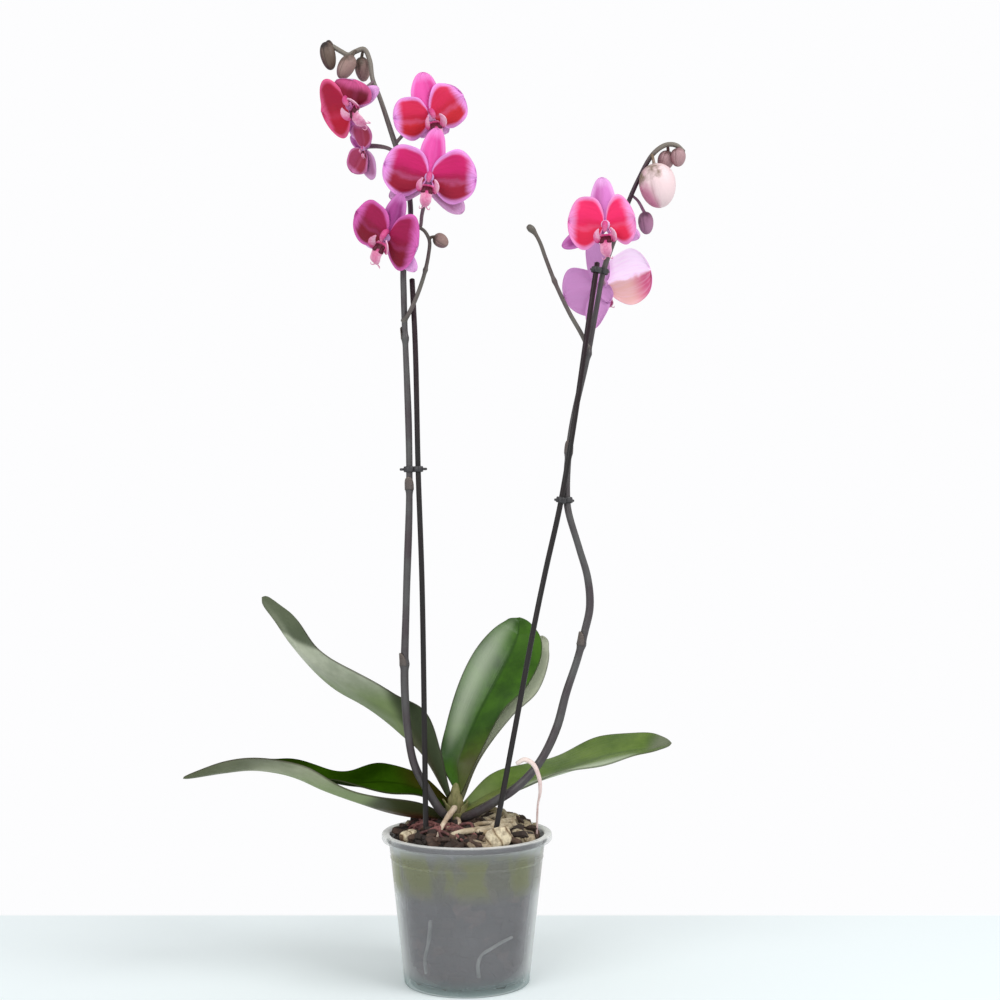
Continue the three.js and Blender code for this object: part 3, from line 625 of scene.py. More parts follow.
# The last tint, near white along the lip, is the painted highlight.
for where, shade in (
        (spread(tree, upright, FOOT_TINT, 0.0), colour(138, 162, 160)),
        (algae_band, colour(158, 159, 150)), (algae, colour(142, 145, 114)),
        (spread(tree, upright, LIP_HIGHLIGHT_TINT_START, LIP_HIGHLIGHT_TINT_FULL), colour(235, 236, 234))):
    tint = mix(tree, where, tint, shade)
tree.links.new(tint, shader.inputs["Base Color"])
tree.links.new(spread(tree, scuffs, 0.35, 0.8, 0.14, 0.34), shader.inputs["Roughness"])
print("nodes in the pot's finish:", len(tree.nodes))

# %% [markdown]
# ## Drilling the pot
# Eight round holes in the raised floor let water out. They break the turned grid, so they can't be part of
# it. A Boolean modifier cuts them with eight short rods, and its result is kept as the pot's mesh.

# %% Pot piece
DRILL_START, DRILL_LENGTH = -5.0, 20

pot = make_piece("nursery_pot", turned(pot_outline()), clear_plastic, ["clear_pot"])
drills = []
for turn in (np.arange(DRAIN_HOLES) + 0.5) / DRAIN_HOLES * 2 * np.pi:
    foot = np.array([DRAIN_CIRCLE * np.cos(turn), DRAIN_CIRCLE * np.sin(turn), DRILL_START])
    drills.append(tube([foot, foot + [0, 0, DRILL_LENGTH]], DRAIN_RADIUS, sides=24))
drill = make_piece("drill", join(*drills), clear_plastic)
cutter = pot.modifiers.new("drain_holes", "BOOLEAN")
cutter.object, cutter.solver = drill, "EXACT"
bpy.context.view_layer.update()
cut_mesh = bpy.data.meshes.new_from_object(pot.evaluated_get(bpy.context.evaluated_depsgraph_get()))
pot.modifiers.clear()
pot.data = cut_mesh
bpy.data.objects.remove(drill)
del triangle_counts["drill"]
cut_mesh.polygons.foreach_set("use_smooth", np.full(len(cut_mesh.polygons), True))
triangle_counts["nursery_pot"] = sum(len(face.vertices) - 2 for face in cut_mesh.polygons)
tell("pot with its holes", "nursery_pot")

# %% [markdown]
# ## The finish of bark
# Orchids grow in coarse bark, brown with a grainy face, from nearly black where it is damp to straw where
# it is fresh. An even brown would read as mud. So each chip carries a tone of its own, and cloudy noise
# adds the damp patches and the grain.

# %% Bark finish
def bark_finish(name, dark, warm, pale):
    """Chips from dark to pale by their own tone, with grain and damp patches."""
    material, tree, shader = new_material(name, 0.85)
    tone = attribute(tree, "tone")
    body = mix(tree, spread(tree, tone, 0.05, 0.6), dark, warm)
    body = mix(tree, spread(tree, tone, 0.6, 0.95), body, pale)
    worn = use_group(tree, mottle, Scale=320.0, Softness=0.16, First=body,
                     Second=mix(tree, 0.55, body, dark))
    tree.links.new(worn["Colour"], shader.inputs["Base Color"])
    raise_relief(tree, shader, noise(tree, own_place(tree), 900.0, 5.0), 0.0006)
    return material


bark = bark_finish("bark_mix", colour(40, 32, 28), colour(98, 74, 62), colour(190, 172, 144))
pale_bark = bark_finish("pale_bark", colour(92, 68, 48), colour(198, 180, 146), colour(222, 208, 178))
print("bark finishes:", bark.name, pale_bark.name)

# %% [markdown]
# ## The heap in the pot
# The filling is a heap with a low dome, higher at the back right. Hundreds of loose chips alone would leave
# holes to see through, so a dark lumpy core fills the pot first, a little inside the wall.

# %% Heap
MIX_MIDDLE, MIX_EDGE = 111.5, 103.0
MIX_RISE = 4.0
CORE_GAP, CORE_DROP = 3.0, 2.0


def heap_height(x, y):
    """The top of the bark: a low dome, higher at the back right, with gentle lumps."""
    inner = wall_radius(MIX_EDGE) - WALL
    share = np.minimum(np.hypot(x, y) / inner, 1)
    rise = MIX_RISE * np.clip((x + y) / BASE_RADIUS, 0, 1) * (1 - share**4)
    lumps = np.sin(0.31 * x + 1.3) * np.cos(0.27 * y - 0.4) + 0.5 * np.sin(0.7 * x - 0.5 * y)
    return MIX_MIDDLE + (MIX_EDGE - MIX_MIDDLE) * share**2 + rise + 1.2 * lumps * (1 - share**4)


def heap():
    """The core of the filling: rings up the inside of the wall, then in over the top to the middle. Its
    radius wavers by 1.8% as a sine of the height and of the angle round the axis."""
    sides = [(wall_radius(z) - WALL - CORE_GAP, z) for z in np.linspace(7, MIX_EDGE - 6, 24)]
    top = [(r, MIX_EDGE - 4) for r in np.linspace(wall_radius(MIX_EDGE) - WALL - CORE_GAP, 0.5, 26)]
    shell = turned([(0, 6)] + sides + top, around=120)
    x, y, z = shell.points.T.copy()
    on_top = z > MIX_EDGE - 4.5
    z[on_top] = heap_height(x[on_top], y[on_top]) - CORE_DROP
    wobble = 1 + 0.018 * np.sin(0.9 * z + 3 * np.arctan2(y, x)) * (np.hypot(x, y) > 30)
    return Shell(np.stack([x * wobble, y * wobble, z], axis=1), shell.faces, shell.values)


print("heap height in the middle, in mm:", round(float(heap_height(0, 0)), 1))

# %% [markdown]
# ## One chip, a thousand times
# A chip is a bevelled box with its corners moved a little at random. Particles or instances could repeat
# it, but then every chip would be the same. Here all chips are one array: the base points times each
# chip's own scatter, size and rotation.

# %% Scattering chips
CHIP_BEVEL, CHIP_JITTER = 0.16, 0.09


def base_chip():
    """The points and faces of a box 1 across with bevelled edges, as arrays."""
    mesh = bmesh.new()
    bmesh.ops.create_cube(mesh, size=1)
    bmesh.ops.bevel(mesh, geom=mesh.edges[:], offset=CHIP_BEVEL, segments=1, affect="EDGES")
    bmesh.ops.triangulate(mesh, faces=mesh.faces[:])
    points = np.array([vertex.co for vertex in mesh.verts])
    faces = np.array([[vertex.index for vertex in face.verts] for face in mesh.faces])
    mesh.free()
    return points, faces


def turns(yaw, tilt, roll):
    """Rotation matrices, one for each chip: roll about its length, then tilt, then yaw about the upright."""
    cy, sy, ct, st, cr, sr = (f(a) for a in (yaw, tilt, roll) for f in (np.cos, np.sin))
    zero, one = np.zeros_like(yaw), np.ones_like(yaw)
    about_z = np.stack([cy, -sy, zero, sy, cy, zero, zero, zero, one], axis=-1).reshape(-1, 3, 3)
    about_y = np.stack([ct, zero, st, zero, one, zero, -st, zero, ct], axis=-1).reshape(-1, 3, 3)
    about_x = np.stack([one, zero, zero, zero, cr, -sr, zero, sr, cr], axis=-1).reshape(-1, 3, 3)
    return about_z @ about_y @ about_x


def scatter(places, sizes, rotations, tones, chance):
    """One shell holding a chip at each place: each is the base chip with its points moved by up to 9% at
    random, scaled to its size, rotated and put down."""
    points, faces = base_chip()
    jitter = 1 + 2 * CHIP_JITTER * (chance.random((len(places), len(points), 3)) - 0.5)
    body = points[None] * jitter * sizes[:, None]
    placed = np.einsum("nij,nkj->nki", rotations, body) + places[:, None]
    starts = np.arange(len(places))[:, None, None] * len(points)
    tone = np.repeat(tones[:, None], len(points), axis=1)
    return new_shell(placed, [(faces[None] + starts).reshape(-1, 3)], tone=tone)


print("faces on one chip:", len(base_chip()[1]))

# %% [markdown]
# ## Filling the pot
# On top the chips lie loosely, each tilted a little. Against the wall they stand with their flat side to
# the plastic, because that is how bark settles. A fixed seed gives the same heap on every run.

# %% Chips in the pot
CHIP_SEED = 7
TOP_CHIPS, WALL_CHIPS = 300, 760
TOP_ROOM, ROOT_ROOM = 6.5, 0.8


def top_chips(count, chance):
    """Chips lying on the heap: places spread evenly over its disc, each tilted a little."""
    radius = np.sqrt(chance.random(count)) * (wall_radius(MIX_EDGE) - WALL - TOP_ROOM)
    angle = chance.random(count) * 2 * np.pi
    x, y = radius * np.cos(angle), radius * np.sin(angle)
    z = heap_height(x, y) + chance.uniform(-2.0, 1.2, count)
    sizes = np.stack([chance.uniform(6, 14, count), chance.uniform(4, 9, count),
                      chance.uniform(2.2, 5, count)], axis=1) * (1 + 0.1 * (x[:, None] > 12))
    rotations = turns(chance.uniform(0, 6.3, count), chance.uniform(-0.5, 0.5, count),
                      chance.uniform(-0.6, 0.6, count))
    tones = np.clip(chance.beta(0.8, 1.1, count) + 0.16 * np.clip(x / 30, -0.5, 1), 0, 1)
    return scatter(np.stack([x, y, z], axis=1), sizes, rotations, tones, chance)


def wall_chips(count, chance):
    """Chips near the wall, standing with their flat side to it, with room left for the roots there."""
    z = chance.uniform(9, MIX_EDGE - 3, count)
    angle = chance.random(count) * 2 * np.pi
    deep = chance.uniform(2.6, 4.6, count)
    radius = wall_radius(z) - WALL - ROOT_ROOM - deep
    sizes = np.stack([chance.uniform(2.5, 4.0, count), chance.uniform(6, 15, count),
                      chance.uniform(5, 12, count)], axis=1)
    rotations = turns(angle, chance.uniform(-0.12, 0.12, count), chance.uniform(-1.5, 1.5, count))
    tones = 0.7 * chance.beta(1.4, 3.2, count)
    places = np.stack([radius * np.cos(angle), radius * np.sin(angle), z], axis=1)
    return scatter(places, sizes, rotations, tones, chance)


chance = np.random.default_rng(CHIP_SEED)
core = heap()
on_top = top_chips(TOP_CHIPS, chance)
at_wall = wall_chips(WALL_CHIPS, chance)
make_piece("bark_filling", join(core, on_top, at_wall), bark, ["growing_mix"], smooth=False)
tell("filling", "bark_filling")

# %% [markdown]
# ## The three large chips
# Three larger flakes of pale bark lie on top. Bark splits along its grain, so each is a thick slab with
# dark grooves down its face. A bevelled box would look sawn. A ball pressed square keeps flat faces and
# worn corners, and slow ripples over it make it uneven.

# %% Balls pressed square
def pressed(wave, power):
    """A sine or cosine raised to a low power with its sign kept, which makes a round shape squarish."""
    return np.sign(wave) * np.abs(wave) ** power


def squared_ball(rows, columns, power, crowding=0.0):
    """x, y and z of a ball pressed square, each 1 at most, over angles v from pole to pole and u around.
    The angles crowd towards the flat faces: crowding * sin of four times the angle is taken away."""
    v = np.linspace(0.02, np.pi - 0.02, rows)[:, None]
    u = np.linspace(0, 2 * np.pi, columns, endpoint=False)[None]
    v, u = v - crowding * np.sin(4 * v), u - crowding * np.sin(4 * u)
    x = pressed(np.cos(u), power) * pressed(np.sin(v), power)
    y = pressed(np.sin(u), power) * pressed(np.sin(v), power)
    return x, y, pressed(np.cos(v), power) + 0 * x


print("a half pressed outwards:", round(float(pressed(0.5, 0.6)), 2))

# %% [markdown]
# ## Cutting the large chips
# Each flake gets its own place, size, turn and tilt. The grooves are hairlines on the real bark, so they
# are not cut into the mesh: they are dark stripes in the tone that the finish reads.

# %% Large chips
CHIPS = {
    "bark_chip_front": {"at": (22, -43, 109), "size": (17.5, 7, 13.5), "turn": 12, "tilt": 14},
    "bark_chip_right": {"at": (37, -24, 106), "size": (13, 8, 9), "turn": -38, "tilt": -14},
    "bark_chip_left": {"at": (-40, -20, 106), "size": (13, 8, 8), "turn": 40, "tilt": 10},
}


def large_chip(at, size, turn, tilt):
    """A slab from a ball pressed square. Its sides move in and out with slow sines of x, y and z, and it is
    dark in stripes where a sine of x, bent a little along z, passes through 0."""
    x, y, z = squared_ball(41, 64, 0.6, crowding=0.2)
    layers = 1 + 0.02 * np.sin(9 * y) + 0.05 * np.sin(2 * z + 1.5 * x + turn)
    body = np.stack([x * layers, y, z * layers], axis=-1) * np.array(size) / 2
    spin = turns(np.radians([turn]), np.radians([-tilt]), np.zeros(1))[0]
    groove = bell(np.sin(3.4 * x + 0.5 * z + 0.3 * np.sin(3 * z + turn)), 0, 0.26)
    return closed_grid(body @ spin.T + np.array(at), outward=False, tone=0.95 - 0.9 * groove)


for name, chip in CHIPS.items():
    make_piece(name.replace("bark_chip", "pale_chip"), large_chip(**chip), pale_bark, [name])
tell("large chips", "pale_chip")

# %% [markdown]
# ## The finish of roots
# Moth orchids have thick pale roots with a spongy, matte skin, greener when damp, silvery when dry and
# brown with age. One recipe does for all: cloudy patches, another colour at the tip and fine lines.

# %% Root finish
def root_finish(name, skin, shade, tip):
    """Matte spongy skin, darker in patches, with another colour towards the tip."""
    material, tree, shader = new_material(name, 0.75)
    patches = use_group(tree, mottle, Scale=130.0, Softness=0.15, First=skin, Second=shade)
    ends = spread(tree, attribute(tree, "along"), 0.7, 1.0)
    body = mix(tree, ends, patches["Colour"], tip)
    tree.links.new(body, shader.inputs["Base Color"])
    lines = use_group(tree, fibres, Lines=5.0, Wander=40.0)
    raise_relief(tree, shader, lines["Height"], 0.0005)
    return material


pale_root = root_finish("pale_root", colour(222, 204, 182), colour(184, 160, 136), colour(232, 214, 198))
pink_root = root_finish("pink_root", colour(238, 214, 210), colour(222, 190, 186), colour(240, 224, 216))
brown_root = root_finish("brown_root", colour(138, 88, 84), colour(82, 50, 50), colour(180, 138, 120))
wall_root = root_finish("wall_root", colour(176, 182, 176), colour(140, 146, 142), colour(186, 192, 186))
silver_root = root_finish("silver_root", colour(204, 190, 164), colour(160, 140, 110), colour(214, 200, 176))
print("materials so far:", len(bpy.data.materials))

# %% [markdown]
# ## Roots that show one by one
# Two roots leave the crown and dive into the bark, and a thin one loops up beside the right spike. A root
# is a tube along a smooth line, and a plain tube looks like wire. So its thickness swells and shrinks a
# little along its length.

# %% Single roots
CROWN_X = -8.0
ROOTS = {  # finish, radius, shares of the radius at both ends, points
    "root_loop": (pink_root, 1.3, (0.55, 1.15), [
        [48, -8, 92], [49, -10, 106], [49.5, -21, 127], [51, -29, 139], [50, -33.5, 149],
        [46, -34.5, 158], [40, -34, 161], [35, -32, 158]]),
    "root_front": (pale_root, 2.0, (1.0, 0.8), [
        [-8, -2, 123], [-10.5, -11, 121], [-15, -20, 116], [-18, -27, 111], [-20, -31, 102]]),
    "root_second": (pale_root, 1.3, (1.0, 0.8), [
        [-9, -2, 115], [-6, -10, 115.5], [-5, -18, 114], [-8, -26, 110.5], [-13, -33, 102]]),
}


def root(points, radius, seed=0.0, ends=(1.0, 0.8)):
    """A tube along a smooth line. Its radius swells by up to 13% in two slow waves, and passes from one
    share of the given radius to another past the middle."""
    line = even_line(points, 70)
    t = np.linspace(0, 1, len(line))
    swell = 1 + 0.08 * np.sin(9 * t + seed) + 0.05 * np.sin(23 * t + 2 * seed)
    share = ends[0] + (ends[1] - ends[0]) * np.clip(3 * t - 1.2, 0, 1)
    return tube(line, radius * swell * share, sides=12)


for name, (finish, radius, ends, points) in ROOTS.items():
    make_piece(name + "_skin", root(points, radius, ends=ends), finish, [name])
tell("single roots", "root_")

# %% [markdown]
# ## Roots over the bark
# Thin roots spread from the crown over the heap. Drawing all 48 by hand would take long and look no
# better, so each gets a heading, a reach and a few chance turns, and lies on the heap's own height.

# %% Roots over the bark
ROOT_SEED = 11
STRAND_TURN = 20
CURLED_REACH = 12
TOP_ROOTS = {  # finish, radius, strands, first and last heading in degrees, nearest and farthest point
    "brown": (brown_root, 1.15, 26, 140, 290, 8, 49),
    "silver": (silver_root, 1.5, 11, -60, 75, 14, 46),
    "curled": (silver_root, 2.0, 11, -80, 60, 24, 44),
}


def strand(heading, near, far, chance):
    """Five points of a root that winds outwards over the heap, a little above it, and dips in at its end.
    Each point turns off the heading by up to STRAND_TURN degrees."""
    reach = np.linspace(near, far, 5)
    angle = np.radians(heading + chance.uniform(-STRAND_TURN, STRAND_TURN, 5))
    x, y = reach * np.cos(angle) + CROWN_X * np.linspace(1, 0, 5), reach * np.sin(angle)
    lift = np.array([-1.0, 2.6, 3.6, 2.6, -3.5]) + chance.uniform(-0.6, 0.9, 5)
    return np.stack([x, y, heap_height(x, y) + lift], axis=1)


chance = np.random.default_rng(ROOT_SEED)
for name, (finish, radius, count, first, last, near, far) in TOP_ROOTS.items():
    headings = np.linspace(first, last, count) + chance.uniform(-6, 6, count)
    reach = np.stack([near + chance.uniform(0, 8, count), far - chance.uniform(0, 16, count)], axis=1)
    if name == "curled":
        reach[:, 1] = reach[:, 0] + CURLED_REACH
    strands = [root(strand(heading, *ends, chance), radius, order)
               for order, (heading, ends) in enumerate(zip(headings, reach))]
    make_piece(name + "_surface_roots", join(*strands), finish)
tell("roots over the bark", *[name + "_surface" for name in TOP_ROOTS])

# %% [markdown]
# ## Roots on the wall
# Some roots meet the plastic and run down along it, pale through the milky wall. Each route is a few pairs
# of angle and height, and the wall's own radius puts it just inside.

# %% Roots on the wall
WALL_ROOT_RADIUS, WALL_ROOT_GAP = 1.3, 1.5
WALL_ROOTS = [
    [(-121, 52), (-123, 42), (-126, 33), (-130, 25), (-130, 14)],
    [(-78, 14), (-79, 23), (-76, 29.5), (-68, 33), (-58, 36.5), (-46, 39)],
    [(-20, 92), (-14, 74), (-20, 56), (-15, 38)],
    [(20, 90), (26, 66), (20, 44), (27, 20)],
    [(70, 92), (64, 70), (72, 50), (66, 24)],
    [(120, 94), (114, 72), (122, 52), (116, 30)],
    [(165, 90), (171, 66), (163, 48), (169, 26)],
]


def on_wall(route):
    """Points just inside the wall from pairs of angle, in degrees, and height."""
    angle, z = np.array(route, float).T
    angle = np.radians(angle)
    radius = wall_radius(z) - WALL - WALL_ROOT_GAP
    return np.stack([radius * np.cos(angle), radius * np.sin(angle), z], axis=1)


strands = [root(on_wall(route), WALL_ROOT_RADIUS, order) for order, route in enumerate(WALL_ROOTS)]
make_piece("wall_roots", join(*strands), wall_root)
tell("roots on the wall", "wall_roots")

# %% [markdown]
# ## The finish of leaves
# A moth orchid's leaf is glossy and leathery: two greens above, a paler greyer green below, painted shade in
# the groove down the middle and a thin purplish rim. Shade and a pale sheen are painted on as well. A single
# material would make all six look cut from one sheet, so one function takes the colours and gives each leaf
# its own.

# %% Leaf finish
FRESH_UNDER, PAINTED_SHEEN_COLOUR = colour(118, 142, 76), colour(196, 208, 182)
RUSSET, LEAF_RIM = colour(118, 66, 42), colour(52, 44, 40)


def leaf_finish(name, deep, fresh, under, shadow, gloss, russet=0.2):
    """Two greens above and a greyer green below, which is fresher near the crown, fine lines along the
    blade, painted shade in the groove of the midrib on the upper side and a thin purplish rim. Where tone is
    above 0 the blade turns to the shadow colour as painted shade, below 0 it gets a pale painted sheen, and
    near the crown its right half reddens."""
    material, tree, shader = new_material(name, 0.3, {"Specular IOR Level": gloss})
    across = attribute(tree, "across")
    from_rib = number(tree, "ABSOLUTE", across)
    top = use_group(tree, mottle, Scale=26.0, Softness=0.22, First=deep, Second=fresh)["Colour"]
    greener = mix(tree, 0.45, under, fresh)
    below = use_group(tree, mottle, Scale=34.0, Softness=0.2, First=under, Second=greener)["Colour"]
    # Painted shade: along the midrib's groove the upper side darkens to the deep green.
    top = mix(tree, spread(tree, from_rib, 0.12, 0.0, 0.0, 0.7), top, deep)
    slanting = number(tree, "ADD", attribute(tree, "along"), number(tree, "MULTIPLY", across, 0.12))
    below = mix(tree, spread(tree, slanting, 0.66, 0.44, 0.0, 0.72), below, FRESH_UNDER)
    body = use_group(tree, two_faces, Upper=top, Under=below)["Colour"]
    tone = attribute(tree, "tone")
    # Painted shade where tone is above 0, and a painted sheen where it is below 0.
    body = mix(tree, spread(tree, tone, 0.0, 1.0), body, shadow)
    body = mix(tree, spread(tree, tone, 0.0, -1.0), body, PAINTED_SHEEN_COLOUR)
    near = number(tree, "MULTIPLY", spread(tree, attribute(tree, "along"), 0.32, 0.12, 0.0, russet),
                  spread(tree, across, 0.5, -0.5))
    body = mix(tree, near, body, RUSSET)
    body = mix(tree, spread(tree, from_rib, 0.95, 1.0, 0.0, 0.6), body, LEAF_RIM)
    tree.links.new(body, shader.inputs["Base Color"])
    upper = attribute(tree, "upper")
    tree.links.new(spread(tree, upper, 0.2, 0.8, 0.5, 0.3), shader.inputs["Roughness"])
    lines = use_group(tree, fibres, Lines=26.0, Wander=3.0)["Height"]
    raise_relief(tree, shader, lines, 0.00022)
    return material


lowest_leaf = leaf_finish("lowest_leaf", colour(50, 70, 26), colour(74, 92, 40), colour(162, 166, 136),
                          colour(62, 68, 38), 0.2, 1.0)
low_leaf = leaf_finish("low_leaf", colour(26, 50, 2), colour(46, 78, 8), colour(120, 136, 96),
                       colour(32, 50, 6), 0.0)
rising_leaf = leaf_finish("rising_leaf", colour(44, 62, 36), colour(66, 88, 46), colour(194, 198, 176),
                          colour(68, 78, 54), 0.2)
front_leaf = leaf_finish("front_leaf", colour(30, 62, 8), colour(62, 104, 18), colour(120, 136, 96),
                         colour(34, 50, 18), 0.22)
# The back leaf is pale above as well: these greens are painted light, the sheen on the blade and light
# through it.
back_leaf = leaf_finish("back_leaf", colour(176, 182, 158), colour(196, 200, 178), colour(130, 140, 100),
                        colour(92, 108, 62), 0.3)
right_leaf = leaf_finish("right_leaf", colour(72, 98, 36), colour(110, 134, 60), colour(140, 152, 100),
                         colour(124, 126, 112), 0.22)
print("materials so far:", len(bpy.data.materials))

# %% [markdown]
# ## The edges of the leaves
# Each leaf is drawn by its left and right edge, as points from the crown to the tip. A flat outline bent
# by a modifier would need fewer numbers, but two edges in space give the width, the twist and the droop
# together. near and far say where painted shade darkens the leaf, and the key after them says where a
# painted sheen makes it shine.

# %% Leaf edges
LEAVES = {
    "leaf_lowest_left": {
        "finish": lowest_leaf, "channel": 3, "wave": 1.2,
        "near": (0.32, 0.02, 0.04, 0.95), "far": (0.70, 0.10, 0.14, 0.62),
        "painted_sheen": (-0.2, 0.6, 0.1), "tip": 0.8,
        "left": [[-12, -1, 114], [-29, -9, 125], [-60, -24, 134], [-87, -32, 143], [-113, -37, 157],
                 [-139, -38, 163.5], [-165, -34, 159.5], [-195, -28, 148]],
        "right": [[-12, 3, 112.5], [-30, 8, 113], [-67, 15, 119.5], [-107, 17, 133.5], [-131, 14, 144.5],
                  [-151, 6, 147], [-171, -10, 148], [-195, -27, 147]]},
    "leaf_low_left": {
        "finish": low_leaf, "channel": 5, "wave": 1.4,
        "near": (0.25, 0.0, 0.1, 0.5), "far": (0.70, 0.0, 0.1, 0.7), "painted_sheen": (0.4, 0.3, 0.0), "tip": 1.2,
        "left": [[-12, -3, 121], [-31, -8, 131], [-54, -10, 135], [-81, -6, 139], [-107, 8, 143],
                 [-131, 26, 146], [-150, 40, 147]],
        "right": [[-12, 3, 126], [-35, 16, 144], [-61, 28, 148.5], [-87, 38, 142], [-112, 44, 145.5],
                  [-134, 45, 149.5], [-151, 42, 149]]},
    "leaf_rising_left": {
        "finish": rising_leaf, "channel": 3.2, "wave": 1.2,
        "near": (0.34, -0.115, 0.05, 0.92), "far": (0.778, 0.067, 0.02, 0.82),
        "painted_sheen": (-0.6, 0.4, 0.28), "tip": 1.2,
        "left": [[-12, -3, 133], [-19, -5, 163], [-30, -7, 192], [-52, -8, 204], [-78, -14, 218.5],
                 [-104, -4, 235], [-126, 12, 258.5], [-146, 16, 270]],
        "right": [[-13, 3, 128], [-34, 10, 161], [-49, 15, 173.5], [-73, 22, 189.5], [-97, 30, 204.5],
                  [-118, 26, 223], [-133, 10, 246.5], [-147, 14, 268]]},
    "leaf_upright_front": {
        "finish": front_leaf, "channel": 7, "wave": 0.8,
        "near": (0.22, 0.0, 0.1, 0.4), "far": (2.0, 0.0, 0.1, 0.0), "painted_sheen": (0.64, 0.4, 0.46), "tip": 1.5,
        "left": [[-8, 1, 132], [-18, -3, 156], [-15, 19, 180], [-4, 42, 212], [9, 60, 234],
                 [23, 76, 246], [37, 88, 250]],
        "right": [[-4, -2, 132], [8, 3, 157], [25, 22, 187], [42, 40, 202], [54, 58, 224],
                  [52, 74, 240], [39, 88, 250]]},
    "leaf_upright_back": {
        "finish": back_leaf, "channel": 6, "wave": 0.8,
        "near": (0.25, 0.0, 0.12, 0.7), "far": (2.0, 0.0, 0.1, 0.0), "painted_sheen": (-0.6, 0.3, 0.3), "tip": 2.0,
        "left": [[-7, 3, 128], [-5, 20, 152], [10, 40, 185], [27, 60, 209], [41, 78, 230],
                 [54, 90, 236]],
        "right": [[-3, 2, 127], [9, 14, 155], [32, 34, 182], [52, 53, 200], [60, 70, 223],
                  [56, 88, 236]]},
    "leaf_right": {
        "finish": right_leaf, "channel": 6, "wave": 1.2,
        "near": (0.16, 0.0, 0.08, 0.3), "far": (0.80, -0.06, 0.08, 0.6),
        "painted_sheen": (-0.9, 0.45, 0.62), "tip": 1.0,
        "left": [[-4, 3, 124], [16, 16, 142], [41, 27, 149], [68, 33, 155], [96, 33, 167],
                 [119, 26, 172], [134, 14, 172], [144, 3, 168]],
        "right": [[-3, -3, 118], [21, -10, 131], [44, -16, 141], [68, -20, 150], [94, -20, 156],
                  [115, -14, 160], [132, -6, 163], [144, 1, 167]]},
}

print("leaves:", len(LEAVES))

# %% [markdown]
# ## Light and shade on a leaf
# Where a blade bends over, one part lies in shade and another catches the light. The lamps give most of it.
# The rest is painted into the tone of each point: two slanting edges of painted shade and one pale stripe of
# painted sheen.

# %% Leaf tone
def soft_step(values, edge, softness):
    """0 below the edge and 1 above it, with an S-shaped change of twice the softness."""
    t = np.clip((values - edge) / (2 * softness) + 0.5, 0, 1)
    return t * t * (3 - 2 * t)


def leaf_tone(u, w, near, far, painted_sheen):
    """How much painted shade or painted sheen each point has. near and far are (place along, slant,
    softness, strength): the blade is painted dark before one slanting line and beyond another. The last
    argument is (place across, width, strength): a pale stripe of painted sheen, taken away from the tone."""
    before = near[3] * (1 - soft_step(u + near[1] * w, near[0], near[2]))
    beyond = far[3] * soft_step(u + far[1] * w, far[0], far[2])
    # Painted sheen: a pale stripe along the blade.
    stripe = painted_sheen[2] * bell(w, painted_sheen[0], painted_sheen[1]) * np.sqrt(np.sin(np.pi * np.clip(u, 0, 1)))
    return np.maximum(before, beyond) - stripe


print("a soft step at its edge:", soft_step(0.5, 0.5, 0.1))

# %% [markdown]
# ## The blade of a leaf
# Between its two edges a leaf sinks to the midrib, rounds off at the tip and waves a little at the rims.
# Sculpting would allow more detail, but would have to be done again after every change to the edges. So
# all of it is a sum of simple curves over one grid.

# %% Leaf blades
FOLD_SOFTNESS = 0.06
FULL_FOLD_WIDTH = 15
TIP_CLOSING = 16


def leaf(left, right, channel, wave, near, far, painted_sheen, tip):
    """The blade between two edges. With w running from -1 at the right edge to 1 at the left, a point is
    the edges' mean + w * half the way between them + fold, where the fold points to the underside and is
    channel * (1 - root(w * w + a little)), plus wave * sine of the way along * |w| cubed. The stations
    crowd towards the tip. Over the last span, t = 0 to 1, the half width is multiplied by 1 + tip * t cubed,
    which turns a pointed end into a rounder one, and by root(1 - t to the power TIP_CLOSING), which closes
    it. The blade is thickest at the midrib and near the crown."""
    u = np.sin(np.linspace(0, np.pi / 2, 120))[:, None] ** 1.25
    w = np.sin(np.linspace(-np.pi / 2, np.pi / 2, 33))
    a, b = smooth_line(right, u), smooth_line(left, u)
    t = np.clip((u - 1) * (len(left) - 1) + 1, 0, 1)
    half = (b - a) / 2 * (1 + tip * t**3) * np.sqrt(1 - t**TIP_CLOSING)
    along = unit(np.gradient(a + b, axis=0))
    below = unit(np.cross(half, along))[:, None]
    width = np.linalg.norm(half, axis=1)[:, None]
    fold = 1 + FOLD_SOFTNESS - np.sqrt(w**2 + FOLD_SOFTNESS**2)
    hollow = channel * np.minimum(1, width / FULL_FOLD_WIDTH) * fold
    ripple = wave * np.sin(17 * u + 2 * np.sign(w)) * np.abs(w) ** 3 * np.sin(np.pi * u)
    middle = (a + b)[:, None] / 2 + half[:, None] * w[:, None] + below * (hollow + ripple)[..., None]
    thick = (0.7 + 1.5 * np.sqrt(1 - 0.96 * w**2)) * (1.25 - 0.6 * u)
    return blade(middle, thick, u, w[None], leaf_tone(u, w[None], near, far, painted_sheen))


for name, spec in LEAVES.items():
    shape = {key: value for key, value in spec.items() if key != "finish"}
    make_piece(name + "_blade", leaf(**shape), spec["finish"], [name])
tell("leaves", "leaf_")

# %% [markdown]
# ## The crown
# Leaves, spikes and roots all grow from a short stem. Old leaf bases wrap it like sleeves, brown and papery
# at the bottom and green higher up. One blend along the height gives both; two materials would meet in a
# hard line.

